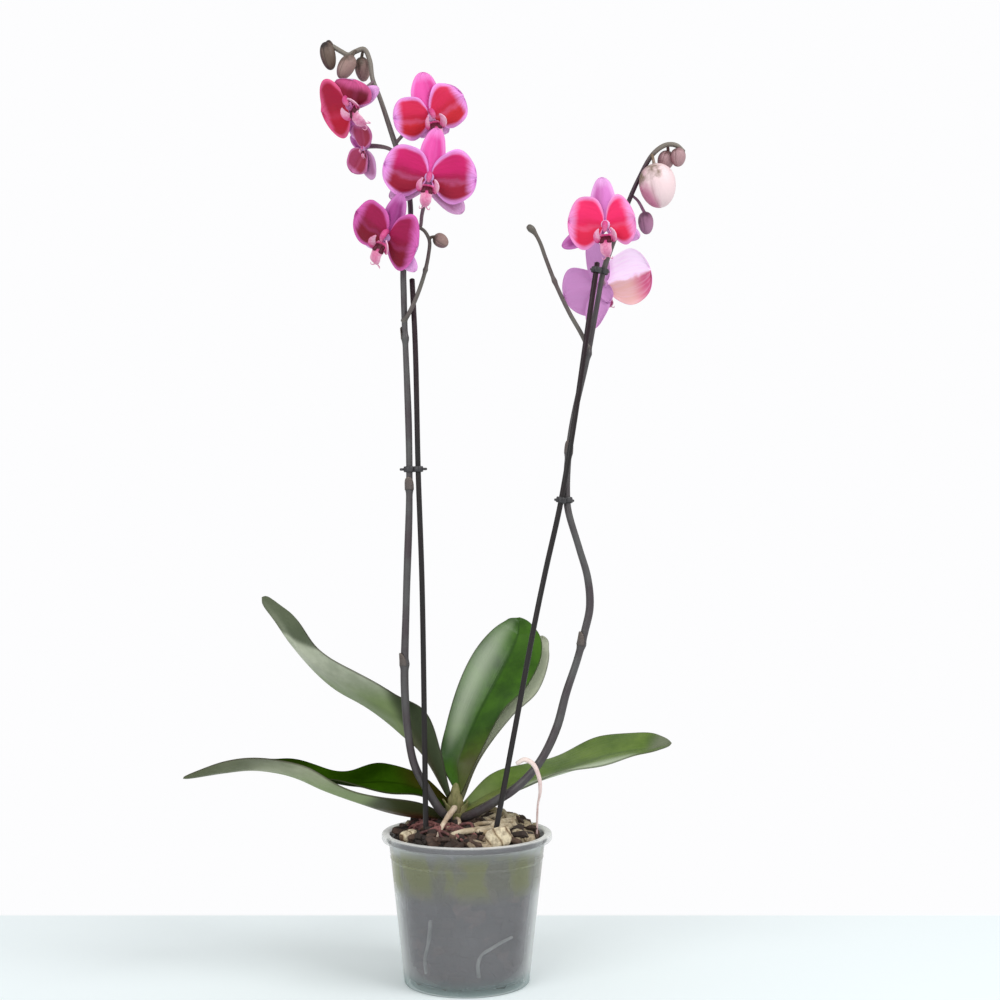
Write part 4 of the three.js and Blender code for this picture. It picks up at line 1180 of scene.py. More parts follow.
# %% Crown finish
husk, tree, shader = new_material("crown_sleeves", 0.6)
height = spread(tree, attribute(tree, "along"), 0.15, 0.9)
dry = use_group(tree, mottle, Scale=150.0, Softness=0.2,
                First=colour(62, 46, 32), Second=colour(112, 86, 58))["Colour"]
green = use_group(tree, mottle, Scale=90.0, Softness=0.2,
                  First=colour(108, 110, 58), Second=colour(164, 156, 108))["Colour"]
tree.links.new(mix(tree, height, dry, green), shader.inputs["Base Color"])
raise_relief(tree, shader, use_group(tree, fibres, Lines=14.0, Wander=4.0)["Height"], 0.0012)
print("nodes in the crown's finish:", len(tree.nodes))

# %% [markdown]
# ## The crown's sleeves
# The core is a turned shape, flattened a little. Each sleeve is a curved blade that hugs it and opens at
# the top. Rings all round would look like a stack of cups.

# %% Crown shape
SLEEVE_RADIUS = 6.6
CROWN_FLATTENING = 0.82
CROWN_PROFILE = [(0, 92), (7, 92), (7.6, 100), (7.2, 112), (6.0, 124), (3.8, 133), (2.0, 138.5), (0, 140)]
SLEEVES = [  # turn in degrees, foot height, top height, opening at the top, half width in degrees
    (180, 103, 128, 2.2, 88), (5, 104, 127, 2.0, 86), (-80, 103, 119, 1.2, 74),
    (100, 105, 134, -1.2, 76), (-115, 106, 133, -1.8, 60),
]


def sleeve(turn, foot, top, opening, spread_angle):
    """Part of a cone round the crown: the radius grows from SLEEVE_RADIUS by the opening, with a slow
    sine round it, and the upper rim falls away to the sides as a cosine."""
    t = np.linspace(0, 1, 24)[:, None]
    w = np.linspace(-1, 1, 25)[None]
    angle = np.radians(turn + w * spread_angle * (1 - 0.25 * t))
    radius = SLEEVE_RADIUS + opening * t**2 + 0.35 * np.sin(6 * angle + foot)
    z = foot + (top - foot) * t * (0.84 + 0.16 * np.cos(w * np.pi / 2))
    x, y = CROWN_X + radius * np.cos(angle), CROWN_FLATTENING * radius * np.sin(angle)
    middle = np.stack([x, y, z + 0 * angle], axis=-1)
    return blade(middle[:, ::-1], 0.9 - 0.4 * np.abs(w), t, w)


core = turned(CROWN_PROFILE, around=48)
squashed = core.points * np.array([1, CROWN_FLATTENING, 1]) + np.array([CROWN_X, 0, 0])
core = Shell(squashed, core.faces, core.values)
make_piece("crown_stem", join(core, *[sleeve(*spec) for spec in SLEEVES]), husk, ["plant_crown"])
tell("crown", "crown_")

# %% [markdown]
# ## The finish of stems
# A spike's skin is dark, between green, grey and maroon, and duller than a leaf's. The colour of the tip,
# the maroon stretch among the flowers, partly the spike's own colour and partly painted shade, and the paler
# scales all follow the numbers at each point, so the same few nodes do for spikes, side shoots, flower
# stalks and the coated stakes.

# %% Stem finish
SCALE_BROWN, MAROON = colour(104, 90, 82), colour(52, 18, 40)


def stem_finish(name, base, tint, tip, roughness=0.42, gloss=0.5):
    """A stem's dark skin with a second tint in long patches and another colour towards its tip. Where
    tone is above 0 it is the brown of a scale, and below 0 it is maroon, partly the stem's own colour and
    partly painted shade."""
    material, tree, shader = new_material(name, roughness, {"Specular IOR Level": gloss})
    skin = use_group(tree, mottle, Scale=38.0, Softness=0.22, First=base, Second=tint)["Colour"]
    body = mix(tree, spread(tree, attribute(tree, "along"), 0.72, 1.0), skin, tip)
    scale_tone = attribute(tree, "tone")
    body = mix(tree, scale_tone, body, SCALE_BROWN)
    # Below 0 the tone paints maroon: partly the stem's own colour, partly painted shade among the flowers.
    body = mix(tree, spread(tree, scale_tone, 0.0, -1.0), body, MAROON)
    tree.links.new(body, shader.inputs["Base Color"])
    raise_relief(tree, shader, use_group(tree, fibres, Lines=6.0, Wander=30.0)["Height"], 0.0004)
    return material


spike_skin = stem_finish("spike_skin", colour(80, 80, 79), colour(62, 51, 56), colour(122, 114, 104))
shoot_skin = stem_finish("shoot_skin", colour(96, 94, 86), colour(88, 74, 74), colour(92, 86, 78))
stalk_skin = stem_finish("stalk_skin", colour(96, 84, 82), colour(120, 92, 104), colour(176, 128, 158))
stake_coat = stem_finish("stake_coat", colour(38, 37, 37), colour(40, 34, 35), colour(40, 16, 27),
                         0.34, 0.25)
print("materials so far:", len(bpy.data.materials))

# %% [markdown]
# ## The routes of spikes, side shoots and stakes
# A flower spike is a wiry stem that first leans out of the crown, then climbs along its stake and arches
# over at the top. Each is drawn as a few points in space with a smooth line through them. Letting the stem
# grow by a rule would look natural too, but would not follow a certain plant.

# %% Stem routes
SPIKES = {
    "left": {"foot": 3.0, "head": 1.6, "joints": (0.21, 0.42, 0.6), "dark": 536, "route": [
        [-10, -2, 114], [-17, -9, 120], [-23, -12, 129], [-28, -14, 138], [-35, -15, 151],
        [-39, -15, 165], [-43, -15, 205], [-42, -15, 269], [-40, -13.5, 339], [-40.5, -11.5, 388],
        [-44, -9.5, 479], [-44, -9, 506], [-40, -9, 527], [-39.5, -9, 546], [-43, -9, 567],
        [-51, -9, 591], [-61, -9, 621], [-66, -9, 634], [-68, -8, 647], [-72, -8, 655],
        [-78, -8, 653.4], [-83, -8, 651], [-88, -8, 653.4], [-94, -8, 657]]},
    "right": {"foot": 3.2, "head": 1.55, "joints": (0.3, 0.55, 0.68), "dark": 556, "route": [
        [-3, -3, 115], [5, -13, 120], [14, -20, 126], [22, -25, 132], [30, -26, 137],
        [38, -26, 143.5], [47, -26, 153], [55, -25, 165], [63, -24, 183], [69, -23, 205],
        [77, -22, 229], [82, -22, 248], [85.5, -22, 265], [84, -22, 285], [78, -22, 306],
        [70.5, -21.5, 332], [69.5, -19.5, 346], [71, -15, 371], [74, -13, 393], [84, -12, 438],
        [90, -10, 469], [96, -9, 500], [103, -8, 521], [111, -8, 542], [120, -8, 563],
        [131, -8, 582], [140, -8, 588], [147, -8, 587.5], [152, -8, 583]]},
}
BRANCHES = {
    "left": {"foot": 1.6, "head": 1.2, "knob": 0.0, "route": [
        [-44, -9.5, 464], [-41, -13, 468], [-36, -14, 478], [-30, -13, 495], [-26.5, -13, 511],
        [-26, -13, 520], [-29, -15, 526], [-32.5, -13, 529]]},
    "right": {"foot": 1.6, "head": 1.3, "knob": 2.6, "route": [
        [85, -12, 445], [80, -14, 455], [72, -14, 469], [62, -14, 490], [55, -14, 508],
        [51, -14, 519], [47, -14, 526], [43, -14, 530]]},
}
STAKES = {
    "left": [[-25, -23, 22], [-28, -21, 110], [-29, -20, 172], [-31, -17, 283], [-33.8, -13.5, 360],
             [-36, -10, 447], [-38.5, -5, 494]],
    "right": [[3, -37, 22], [20, -34, 110], [34, -31, 184], [47, -28, 253], [55, -25, 291],
              [65, -25, 336], [75, -23, 395], [83, -20, 450], [91, -16, 504]],
}
STAKE_RADIUS = 1.9
CARRIERS = {side: even_line(spike["route"], 640) for side, spike in SPIKES.items()}
CARRIERS["branch"] = even_line(BRANCHES["left"]["route"], 120)
print("heights of the tips, in mm:", [round(float(line[-1, 2])) for line in CARRIERS.values()])

# %% [markdown]
# ## Joints and scales
# A spike has a swollen joint every hand's breadth, each wrapped in a small pointed scale. The swelling is
# a narrow bell curve added to the tube's radius. The scale is a blade wrapped part of the way round,
# because a painted one would have no edge.

# %% Spike shape
SCALE_LENGTH = 11.0
DARK_REACH = 26


def scale_leaf(line, at, radius, side):
    """The small pointed scale at a joint: a blade wrapped part of the way round the stem, whose half angle
    shrinks to nothing at its tip, and which stands off by half a millimetre there."""
    here = int(at * (len(line) - 1))
    step = np.linalg.norm(line[1] - line[0])
    rows = line[here:here + max(int(SCALE_LENGTH / step), 6)]
    across_way, other = ring_frame(rows)
    t = np.linspace(0, 1, len(rows))[:, None]
    w = np.linspace(-1, 1, 13)[None]
    angle = side + w * 1.5 * np.sqrt(1 - 0.98 * t**1.5)
    reach = (radius + 0.35 + 0.5 * t**2)[..., None]
    arms = across_way[:, None] * np.cos(angle)[..., None] + other[:, None] * np.sin(angle)[..., None]
    return blade(rows[:, None] + reach * arms, 0.5, t, w, tone=0.35 + 0.4 * t)


def spike(route, foot, head, joints, dark):
    """The main stem with its joints and their scales. Around the height called dark its skin is maroon,
    partly its own colour and partly painted shade among the flowers.
    """
    line = even_line(route, 520)
    t = np.linspace(0, 1, len(line))
    radius = foot + (head - foot) * t + 0.12 * np.sin(40 * t)
    for at in joints:
        radius = radius + 0.75 * bell(t, at, 0.0045)
    scales = [scale_leaf(line, at, foot + (head - foot) * at + 0.3, 2.4 * order + 0.6)
              for order, at in enumerate(joints)]
    # Partly painted shade: the skin turns maroon around the height called dark, among the flowers.
    shade = -np.exp(-(((line[:, 2] - dark) / DARK_REACH) ** 4))
    return join(tube(line, radius, sides=18, tone=np.pad(shade, 1, "edge")[:, None]), *scales)


print("points on the left spike:", len(spike(**SPIKES["left"]).points))

# %% [markdown]
# ## Side shoots and stakes
# A slim shoot leaves each spike, swollen where it starts and at its joint. The stakes are thin coated
# rods, bent a little by the plant's weight. Cylinders would do for straight stakes, but a tube can bend.

# %% Spikes, side shoots and stakes
def side_shoot(route, foot, head, knob):
    """A slim tube with three bell-shaped swellings: at its start, at its joint, and a knob near its end."""
    line = even_line(route, 90)
    t = np.linspace(0, 1, len(line))
    radius = foot + (head - foot) * t + 0.9 * bell(t, 0, 0.03) + 0.5 * bell(t, 0.55, 0.02)
    return tube(line, radius + max(knob - head, 0) * bell(t, 0.97, 0.035))


for side, spec in SPIKES.items():
    make_piece(f"spike_{side}", spike(**spec), spike_skin, [f"flower_spike_{side}"])
    twig = side_shoot(**BRANCHES[side])
    make_piece(f"side_shoot_{side}", twig, shoot_skin, [f"side_branch_{side}"])
    rod = tube(even_line(STAKES[side], 120), STAKE_RADIUS, sides=20)
    make_piece(f"stake_rod_{side}", rod, stake_coat, [f"stake_{side}"])
tell("spikes, side shoots and stakes", "spike_", "side_shoot", "stake_rod")

# %% [markdown]
# ## The finish of clips
# Small clips of dark moulded plastic hold each spike to its stake. Their faces are worn unevenly, so both
# the colour and the gloss follow the same cloudy mask. Even black would hide their shape.

# %% Clip finish
clip_plastic, tree, shader = new_material("clip_plastic", 0.45)
worn = use_group(tree, mottle, Scale=260.0, Softness=0.2,
                 First=colour(44, 43, 45), Second=colour(62, 60, 62))
tree.links.new(worn["Colour"], shader.inputs["Base Color"])
tree.links.new(spread(tree, worn["Mask"], 0.0, 1.0, 0.38, 0.55), shader.inputs["Roughness"])
print("clip finish:", clip_plastic.name)

# %% [markdown]
# ## Rings and tabs
# A clip is two short rings joined by a web, with a finger tab on each. Bevelled boxes and pipes would do,
# but a ring with a squarish section and balls pressed square have soft edges from the start.

# %% Clip shapes
RING_STEPS, SECTION_STEPS = 40, 16


def clip_ring(centre, axis, inner, outer, height):
    """A short ring: a squarish section carried round the axis."""
    side = unit(np.cross(axis, [0.3, 1.0, 0.2]))
    other = np.cross(axis, side)
    angle = np.linspace(0, 2 * np.pi, RING_STEPS, endpoint=False)
    section = np.linspace(0, 2 * np.pi, SECTION_STEPS, endpoint=False)
    radius = (inner + outer) / 2 + pressed(np.cos(section), 0.6) * (outer - inner) / 2
    lift = pressed(np.sin(section), 0.6) * height / 2
    arms = side * np.cos(angle)[:, None] + other * np.sin(angle)[:, None]
    points = centre + arms[:, None] * radius[None, :, None] + axis * lift[None, :, None]
    faces = quads(RING_STEPS + 1, SECTION_STEPS, closed=True) % (RING_STEPS * SECTION_STEPS)
    return new_shell(points, [faces[:, ::-1]])


def clip_tab(centre, way, length, width, height):
    """A rounded block, length long in the direction way: a ball pressed square."""
    up = np.array([0, 0, 1.0])
    cross = unit(np.cross(up, way))
    x, y, z = squared_ball(12, 20, 0.5)
    points = (centre + way * (x * length / 2)[..., None] + cross * (y * width / 2)[..., None]
              + up * (z * height / 2)[..., None])
    return closed_grid(points, outward=False)


print("points on one ring:", RING_STEPS * SECTION_STEPS)

# %% [markdown]
# ## Placing the clips
# A clip sits where spike and stake run side by side. Its rings follow each one's own direction and
# thickness at that height. Placed by hand they would be wrong as soon as a route changed.

# %% Clips
CLIPS = {"clip_left": ("left", 360), "clip_right_lower": ("right", 339), "clip_right_upper": ("right", 499)}
CLIP_WALL, CLIP_PLAY, CLIP_HEIGHT = 1.7, 0.3, 4.0
TAB_OFFSET, TAB_SIZE = 1.0, (3.4, 2.6, 1.8)
WEB_OVERLAP, WEB_SECTION = 3.0, (2.2, 3.0)


def at_height(line, height):
    """The index of the line's station nearest to a height, from a tenth of its length on."""
    first, last = int(0.1 * len(line)), int(0.999 * len(line))
    return first + int(np.argmin(np.abs(line[first:last, 2] - height)))


def spike_radius(side, share):
    """A spike's radius at a share of its length, from its foot to its head in a straight line."""
    foot, head = SPIKES[side]["foot"], SPIKES[side]["head"]
    return foot + (head - foot) * share


def clip(side, height):
    """A ring round the spike and one round the stake, a finger tab outside each and a web between them."""
    rings, centres, reach = [], [], []
    for line, on_spike in ((CARRIERS[side], True), (even_line(STAKES[side], 400), False)):
        i = at_height(line, height)
        radius = spike_radius(side, i / len(line)) if on_spike else STAKE_RADIUS
        axis = unit(line[i + 1] - line[i - 1])
        rings.append(clip_ring(line[i], axis, radius + CLIP_PLAY, radius + CLIP_WALL, CLIP_HEIGHT))
        centres.append(line[i])
        reach.append(radius + CLIP_WALL)
    way = unit(centres[1] - centres[0])
    tabs = [clip_tab(centres[0] - way * (reach[0] + TAB_OFFSET), way, *TAB_SIZE),
            clip_tab(centres[1] + way * (reach[1] + TAB_OFFSET), way, *TAB_SIZE)]
    gap = np.linalg.norm(centres[1] - centres[0]) - reach[0] - reach[1]
    middle = centres[0] + way * (reach[0] + gap / 2)
    web = clip_tab(middle, way, max(gap, 0) + WEB_OVERLAP, *WEB_SECTION)
    return join(*rings, *tabs, web)


for name, (side, height) in CLIPS.items():
    make_piece(name + "_moulding", clip(side, height), clip_plastic, [name])
tell("clips", "clip_")

# %% [markdown]
# ## The finish of petals
# A moth orchid's petal is velvety: deep pink in its lower half, lilac at the rim, paler behind, with fine
# lines and a fold across its middle, along which runs a faint painted highlight. The colours could be
# painted on each petal. Blends over the numbers at each point follow the rim exactly, and noise keeps them
# from looking airbrushed.

# %% Petal finishes
BACKLIGHT = 0.16


def petal_finish(name, low, top, margin, back, back_low=None, back_end=None):
    """A velvety blade, deeper in its lower half, with a pale margin, a faint painted highlight along the
    fold across its middle and a paler back. tone is the distance from the rim, in parts of RIM_REACH. The
    back may pass to other colours below and at its outer end, where light falls through it, and then the
    blade glows a little."""
    material, tree, shader = new_material(name, 0.55, {"Specular IOR Level": 0.22})
    wobble = noise(tree, own_place(tree), 120.0, 3.0)
    lines = use_group(tree, fibres, Lines=9.0, Wander=1.6)["Height"]
    inset = number(tree, "ADD", attribute(tree, "tone"), spread(tree, wobble, 0.2, 0.8, -0.05, 0.05))
    inset = number(tree, "ADD", inset, spread(tree, lines, 0.3, 0.7, -0.015, 0.015))
    height = number(tree, "ADD", attribute(tree, "across"), spread(tree, wobble, 0.2, 0.8, -0.1, 0.1))
    front = mix(tree, spread(tree, height, -0.35, 0.35), low, top)
    # Painted highlight: a faint pale line along the fold, in the margin's colour.
    fold = spread(tree, number(tree, "ABSOLUTE", number(tree, "ADD", height, 0.2)), 0.2, 0.0, 0.0, 0.14)
    front = mix(tree, fold, front, margin)
    front = mix(tree, spread(tree, inset, 0.10, 0.50), margin, front)
    front = mix(tree, spread(tree, lines, 0.42, 0.62, 0.0, 0.3), front, mix(tree, 0.5, front, low))
    rear = mix(tree, spread(tree, height, -0.20, 0.04), back_low or back, back)
    end = mix(tree, spread(tree, height, 0.1, -0.2), rear, back_end or back)
    rear = mix(tree, spread(tree, attribute(tree, "along"), 0.42, 0.86, 0.0, 0.85), rear, end)
    rear = mix(tree, spread(tree, lines, 0.45, 0.65, 0.0, 0.25), rear, mix(tree, 0.35, back, low))
    both = use_group(tree, two_faces, Upper=front, Under=rear)["Colour"]
    tree.links.new(both, shader.inputs["Base Color"])
    raise_relief(tree, shader, lines, 0.0004)
    if back_end:
        tree.links.new(both, shader.inputs["Emission Color"])
        shader.inputs["Emission Strength"].default_value = BACKLIGHT
    return material


print("back lights glow with strength", BACKLIGHT)

# %% [markdown]
# ## Twelve looks
# No two flowers of one plant have quite the same colour: older ones fade, shaded ones go dark. So there are
# twelve sets of colours, for the lower half, the upper half, the margin and the back, and each flower picks
# its own. Chance could pick them, but neighbours might then be alike.

# %% Looks
LILAC, MAUVE = colour(230, 150, 222), colour(200, 140, 196)
LOOKS = {name: petal_finish("bloom_" + name, *tones) for name, tones in {
    "crimson": (colour(150, 20, 50), colour(196, 26, 100), LILAC, colour(206, 160, 214)),
    "wine": (colour(126, 12, 40), colour(158, 20, 76), colour(216, 100, 180), colour(196, 140, 196)),
    "brick": (colour(190, 30, 46), colour(204, 34, 78), LILAC, colour(214, 160, 206)),
    "vivid": (colour(224, 34, 76), colour(240, 40, 104), colour(240, 150, 210), colour(226, 180, 224)),
    "dark": (colour(104, 10, 34), colour(136, 16, 50), colour(206, 84, 140), colour(190, 140, 190)),
    "red": (colour(178, 10, 44), colour(160, 14, 54), colour(224, 90, 140), colour(200, 120, 180)),
    "backlit": (colour(160, 30, 80), colour(190, 60, 130), LILAC, colour(252, 226, 254),
                colour(218, 168, 166), colour(190, 56, 116)),
    "dusty": (colour(158, 46, 72), colour(160, 54, 92), colour(204, 116, 168), MAUVE),
    "lilac": (colour(200, 104, 176), colour(222, 130, 206), colour(236, 170, 228), MAUVE),
    "mauve": (colour(172, 104, 146), colour(190, 120, 168), colour(216, 160, 206), colour(190, 150, 184)),
    "pink": (colour(214, 60, 146), colour(230, 84, 168), colour(236, 130, 204), colour(206, 160, 196)),
    "purple": (colour(142, 44, 116), colour(172, 70, 144), colour(206, 120, 190), MAUVE),
}.items()}
print("looks:", list(LOOKS))

# %% [markdown]
# ## The finish of the lip
# The lip is smoother than the petals and runs from pale pink through magenta to a nearly black red in its
# throat, with fine freckles. The tone stored at each point says how deep it is there, and noise adds the
# freckles.

# %% Lip finish
lip_skin, tree, shader = new_material("lip_skin", 0.45, {"Specular IOR Level": 0.3})
freckle = noise(tree, own_place(tree), 700.0, 2.0)
tone = number(tree, "ADD", attribute(tree, "tone"), spread(tree, freckle, 0.3, 0.7, -0.05, 0.05))
body = mix(tree, spread(tree, tone, 0.0, 0.5), colour(238, 182, 208), colour(202, 70, 130))
body = mix(tree, spread(tree, tone, 0.5, 0.85), body, colour(84, 8, 36))
tree.links.new(body, shader.inputs["Base Color"])
raise_relief(tree, shader, freckle, 0.0002)
print("nodes in the lip's finish:", len(tree.nodes))

# %% [markdown]
# ## Petals and sepals
# Each flower has three narrow sepals at the back and two broad round petals before them, which start
# higher and are cupped, curled and rippled more. It is built facing +Z with its top at +Y. A petal could be
# cut from a flat sheet and bent. Here it is one grid, widest at a chosen share of its length, whose height
# adds up lean, curl, cup, ripple and crease.

# %% Petal shape
FOOT_HALF_WIDTH, END_HALF_WIDTH = 2.0, 0.3
FLOWER_MIDDLE = 1.5
RIM_REACH = 16
PETAL_FORM = {"level": 2.1, "bulge": 0.55, "cup": 1.8, "curl": 3.0, "ripple": 1.3, "crease": 1.1}
SEPAL_FORM = {"level": 0.6, "bulge": 0.48, "cup": 1.0, "curl": 2.0, "ripple": 0.4, "crease": 0.0}


def tepal(direction, length, width, lean, bulge, level, cup, curl, ripple, crease):
    """One sepal or petal. reach runs from 0 to 1 along it, evenly in angle, and w from -1 to 1 across.
    half width = width / 2 * root(4 b (1 - b)) + a narrow foot, with b = reach to the power that puts 0.5 at
    bulge. The height above the flower's plane is the lean's rise - curl * reach squared - cup * w squared
    + a ripple at the rim - a valley crease deep, just below the middle line. across is stored so that it
    is positive on the upper half, and the distance from the rim as tone, in parts of RIM_REACH."""
    reach = ((1 - np.cos(np.pi * np.linspace(0, 1, 34))) / 2)[:, None]
    w = np.sin(np.linspace(-np.pi / 2, np.pi / 2, 31))[None]
    bend = reach ** (np.log(0.5) / np.log(bulge))
    angle, tilt = np.radians(direction), np.radians(lean)
    half = width / 2 * np.sqrt(np.maximum(4 * bend * (1 - bend), 0))
    half = half + FOOT_HALF_WIDTH + (END_HALF_WIDTH - FOOT_HALF_WIDTH) * reach
    half = half * (1 + 0.045 * np.sin(8 * reach + 5 * angle + 2 * np.sign(w)) * np.abs(w))
    out = np.array([np.cos(angle), np.sin(angle), 0])
    across = np.array([-out[1], out[0], 0])
    up = w * (1 if across[1] >= 0 else -1)
    swell = np.sqrt(np.sin(np.pi * np.clip(reach, 0.01, 0.99)))
    rim = np.maximum(np.abs(w), reach**3)
    height = (level + np.sin(tilt) * reach * length - curl * reach**2 - cup * w**2 * swell
              + ripple * np.sin(3.3 * angle + 5 * w + 7 * reach) * rim**4
              - crease * bell(up, -0.12, 0.2) * swell)
    distance = FLOWER_MIDDLE + reach * length * np.cos(tilt)
    middle = (distance[..., None] * out + (half * w)[..., None] * across
              + height[..., None] * np.array([0, 0, 1.0]))
    inset = np.minimum(1.9 * half * (1 - np.abs(w)), 0.9 * length * (1 - reach)) / RIM_REACH
    return blade(middle, 0.75 - 0.35 * rim, reach, up, inset)


print("points on one petal:", len(tepal(0, 30, 34, 5, **PETAL_FORM).points))

# %% [markdown]
# ## Rings of petals
# The petals of one flower are one piece, and so are its sepals, held by a small disc in the middle. The
# first blade of a ring may look different from the others. Separate objects would do, but here each face
# says which of two materials it has.

# %% Whorl
def whorl(blades, form):
    """Petals or sepals on a small disc. blades lists (direction, length, width, lean) of each. Also
    returns, for each face, whether it belongs to the first blade (0) or to another (1)."""
    level = form["level"]
    disc = tube([[0, 0, level - 0.6], [0, 0, level + 0.6]], 3.3, sides=20, tone=0.6)
    shells = [tepal(*one, **form) for one in blades] + [disc]
    pick = np.concatenate([np.full(sum(map(len, shell.faces)), min(order, 1))
                           for order, shell in enumerate(shells)])
    return join(*shells), pick


print("faces in a pair of petals:", len(whorl([(0, 30, 34, 5), (180, 30, 34, 5)], PETAL_FORM)[1]))

# %% [markdown]
# ## The lip
# The lip is the third petal, shaped for landing insects: two upright side lobes, a pointed middle lobe with
# two curled whiskers, a small swelling between them, and the blunt column above. It is too varied for one
# formula, so each lobe is a ribbon or a tube along its own short line.

# %% Lip shape
def ribbon(spine, half, across, thickness, tone, dish=0.0):
    """A curved strip: spine + w * half width * across, with its middle sunk by dish."""
    u = np.linspace(0, 1, 30)[:, None]
    w = np.linspace(-1, 1, 21)[None]
    middle = smooth_line(spine, u)[:, None] + (half(u) * w)[..., None] * unit(np.array(across, float))
    middle = middle + (dish * (w**2 - 1) * np.sin(np.pi * u))[..., None] * np.array([0, 0.25, 1.0])
    return blade(middle, thickness, u, w, tone(u, w))


def column():
    """The blunt column: a tube along an arch, stouter in the middle and narrowed at its end."""
    t = np.linspace(0, 1, 26)
    arch = smooth_line([[0, 5.0, 2.6], [0, 4.4, 5.6], [0, 1.8, 8.0], [0, -1.2, 8.6]], t)
    tone = 0.5 - 0.2 * np.concatenate([[0], t, [1]]) ** 3
    return tube(arch, 1.7 + 0.5 * np.sin(np.pi * t) - 0.6 * t**6, sides=18, tone=tone[:, None])


def middle_lobe():
    """A long pointed ribbon with raised edges, darkest in its throat."""
    spine = [[0, -3.5, 5.5], [0, -7.5, 8.5], [0, -12, 11], [0, -16.5, 11], [0, -20, 8.5]]
    shares, widths = [0, 0.14, 0.34, 0.5, 0.7, 0.88, 1], [3.8, 5.0, 4.4, 4.0, 4.2, 2.8, 0.5]
    stain = lambda u, w: 0.7 * bell(u, 0.18, 0.13) * np.exp(-(w**4)) + 0.3 - 0.14 * w**2
    return ribbon(spine, lambda u: np.interp(u, shares, widths), [1, 0, 0], 1.0, stain, dish=-1.2)


def lip():
    """Column, middle lobe, and on each side a side lobe, half of the callus and a whisker."""
    shells = [column(), middle_lobe()]
    for way in (-1, 1):
        spine = [[way * 1.4, -8.0, 6.0], [way * 4.8, -8.6, 8.0], [way * 6.6, -5.4, 9.6],
                 [way * 6.4, -1.4, 10.4], [way * 4.8, 1.4, 10.2]]
        wide = lambda u: 2.7 * np.sin(np.pi * np.clip(0.22 + 0.77 * u, 0, 0.99)) ** 0.5
        blush = lambda u, w: 0.5 * bell(u, 0, 0.4) + 0.02 + 0.3 * (1 - way * w) / 2
        shells.append(ribbon(spine, wide, [way * 0.8, -0.2, 0.6], 0.8, blush, dish=0.8 * way))
        shells.append(tube([[way * 2.2, -6.0, 7.0], [way * 2.8, -9.4, 10.6]], 1.9, sides=12, tone=0.95))
        path = smooth_line([[way * 0.8, -19.2, 8.8], [way * 2.4, -21.4, 7.6], [way * 3.8, -21.6, 8.8],
                            [way * 4.0, -19.8, 9.8]], np.linspace(0, 1, 26))
        shells.append(tube(path, np.linspace(0.55, 0.2, 26), sides=8, tone=0.2))
    return join(*shells)


print("points on one lip:", len(lip().points))

# %% [markdown]
# ## The seven flowers
# Every flower is listed with the place where its stalk leaves the spike, its own place, turn and size, and
# the direction, length, width and lean of each petal and sepal. One flower copied seven times would look
# like a silk one. The first petal and the first sepal take the first look of their pair.

# %% Flower list
FLOWERS = {
    "left_flower_1": {
        "side": "left", "from": (-42, -9, 520), "at": (-53.5, -32, 520), "turn": (-32, -20, -28),
        "scale": 0.95, "looks": ("wine", "wine", "purple", "lilac"), "lip": (1.0, 0, 0, 0),
        "petals": [(2, 22, 42, -6), (166, 29, 34, 4)],
        "sepals": [(90, 31, 14.5, -8), (216, 27, 12, -12), (324, 30, 14, -8)]},
    "left_flower_2": {
        "side": "left", "from": (-38, -9, 531), "via": [[-33, -12, 529], [-31, -16, 538]],
        "at": (-25, -36, 560), "turn": (0, -12, -9), "scale": 1.0, "lip": (0.9, 0, -2, 0),
        "looks": ("crimson", "crimson", "pink", "mauve"),
        "petals": [(9, 31, 34, 5), (173, 31, 33, 5)],
        "sepals": [(90, 32, 15, -8), (216, 30, 13, -8), (322, 32, 14.5, -8)]},
    "left_flower_3": {
        "side": "left", "from": (-46, -9, 577), "via": [[-54, -8, 585]], "at": (-72, -6, 586),
        "turn": (-34, -24, 0), "scale": 0.62, "lip": (0.5, 0, 0, 0),
        "looks": ("dusty", "dusty", "mauve", "purple"),
        "petals": [(226, 33, 27, 6), (76, 30, 25, 12)],
        "sepals": [(263, 36, 20, -4), (140, 22, 14, -6), (62, 15, 11, -8)]},
    "left_flower_4": {
        "side": "left", "from": (-50, -9, 589), "at": (-25, -22, 604), "turn": (20, -8, 14),
        "scale": 0.9, "looks": ("brick", "brick", "pink", "lilac"), "lip": (1.0, 0, 0, 0),
        "petals": [(23, 30, 33, 5), (172, 28, 31, 2)],
        "sepals": [(88, 33, 21, -4), (236, 15, 11, -12), (318, 18, 11, -10)]},
    "left_flower_5": {
        "side": "left", "from": (-66, -9, 631), "at": (-80, -22, 612.5), "turn": (-38, -26, 36),
        "scale": 0.94, "looks": ("dark", "red", "mauve", "lilac"), "lip": (1.05, 2, 1, -4),
        "petals": [(32, 17, 36, -8), (146, 28, 42, 2)],
        "sepals": [(90, 22, 13, -14), (214, 27, 13, -8), (340, 25, 10, -12)]},
    "right_flower_1": {
        "side": "right", "from": (104, -8, 524), "at": (97, 12, 493), "turn": (170, -16, -16),
        "scale": 1.04, "looks": ("lilac", "backlit", "lilac", "lilac"), "lip": (0.75, 0, 0, 0),
        "petals": [(358, 27, 34, 2), (180, 32, 39, 2)],
        "sepals": [(90, 30, 13, -8), (268, 14, 7, -6), (296, 34, 13, -6)]},
    "right_flower_2": {
        "side": "right", "from": (113, -8, 546), "at": (96, -34, 528), "turn": (-14, -12, 4),
        "scale": 0.96, "looks": ("vivid", "vivid", "purple", "lilac"), "lip": (0.95, 0, -3.5, -1),
        "petals": [(10, 20, 33, 4), (168, 26, 36, 6)],
        "sepals": [(200, 36, 11, -8), (92, 32, 16, -8), (332, 24, 11, -10)]},
}

print("flowers:", len(FLOWERS))

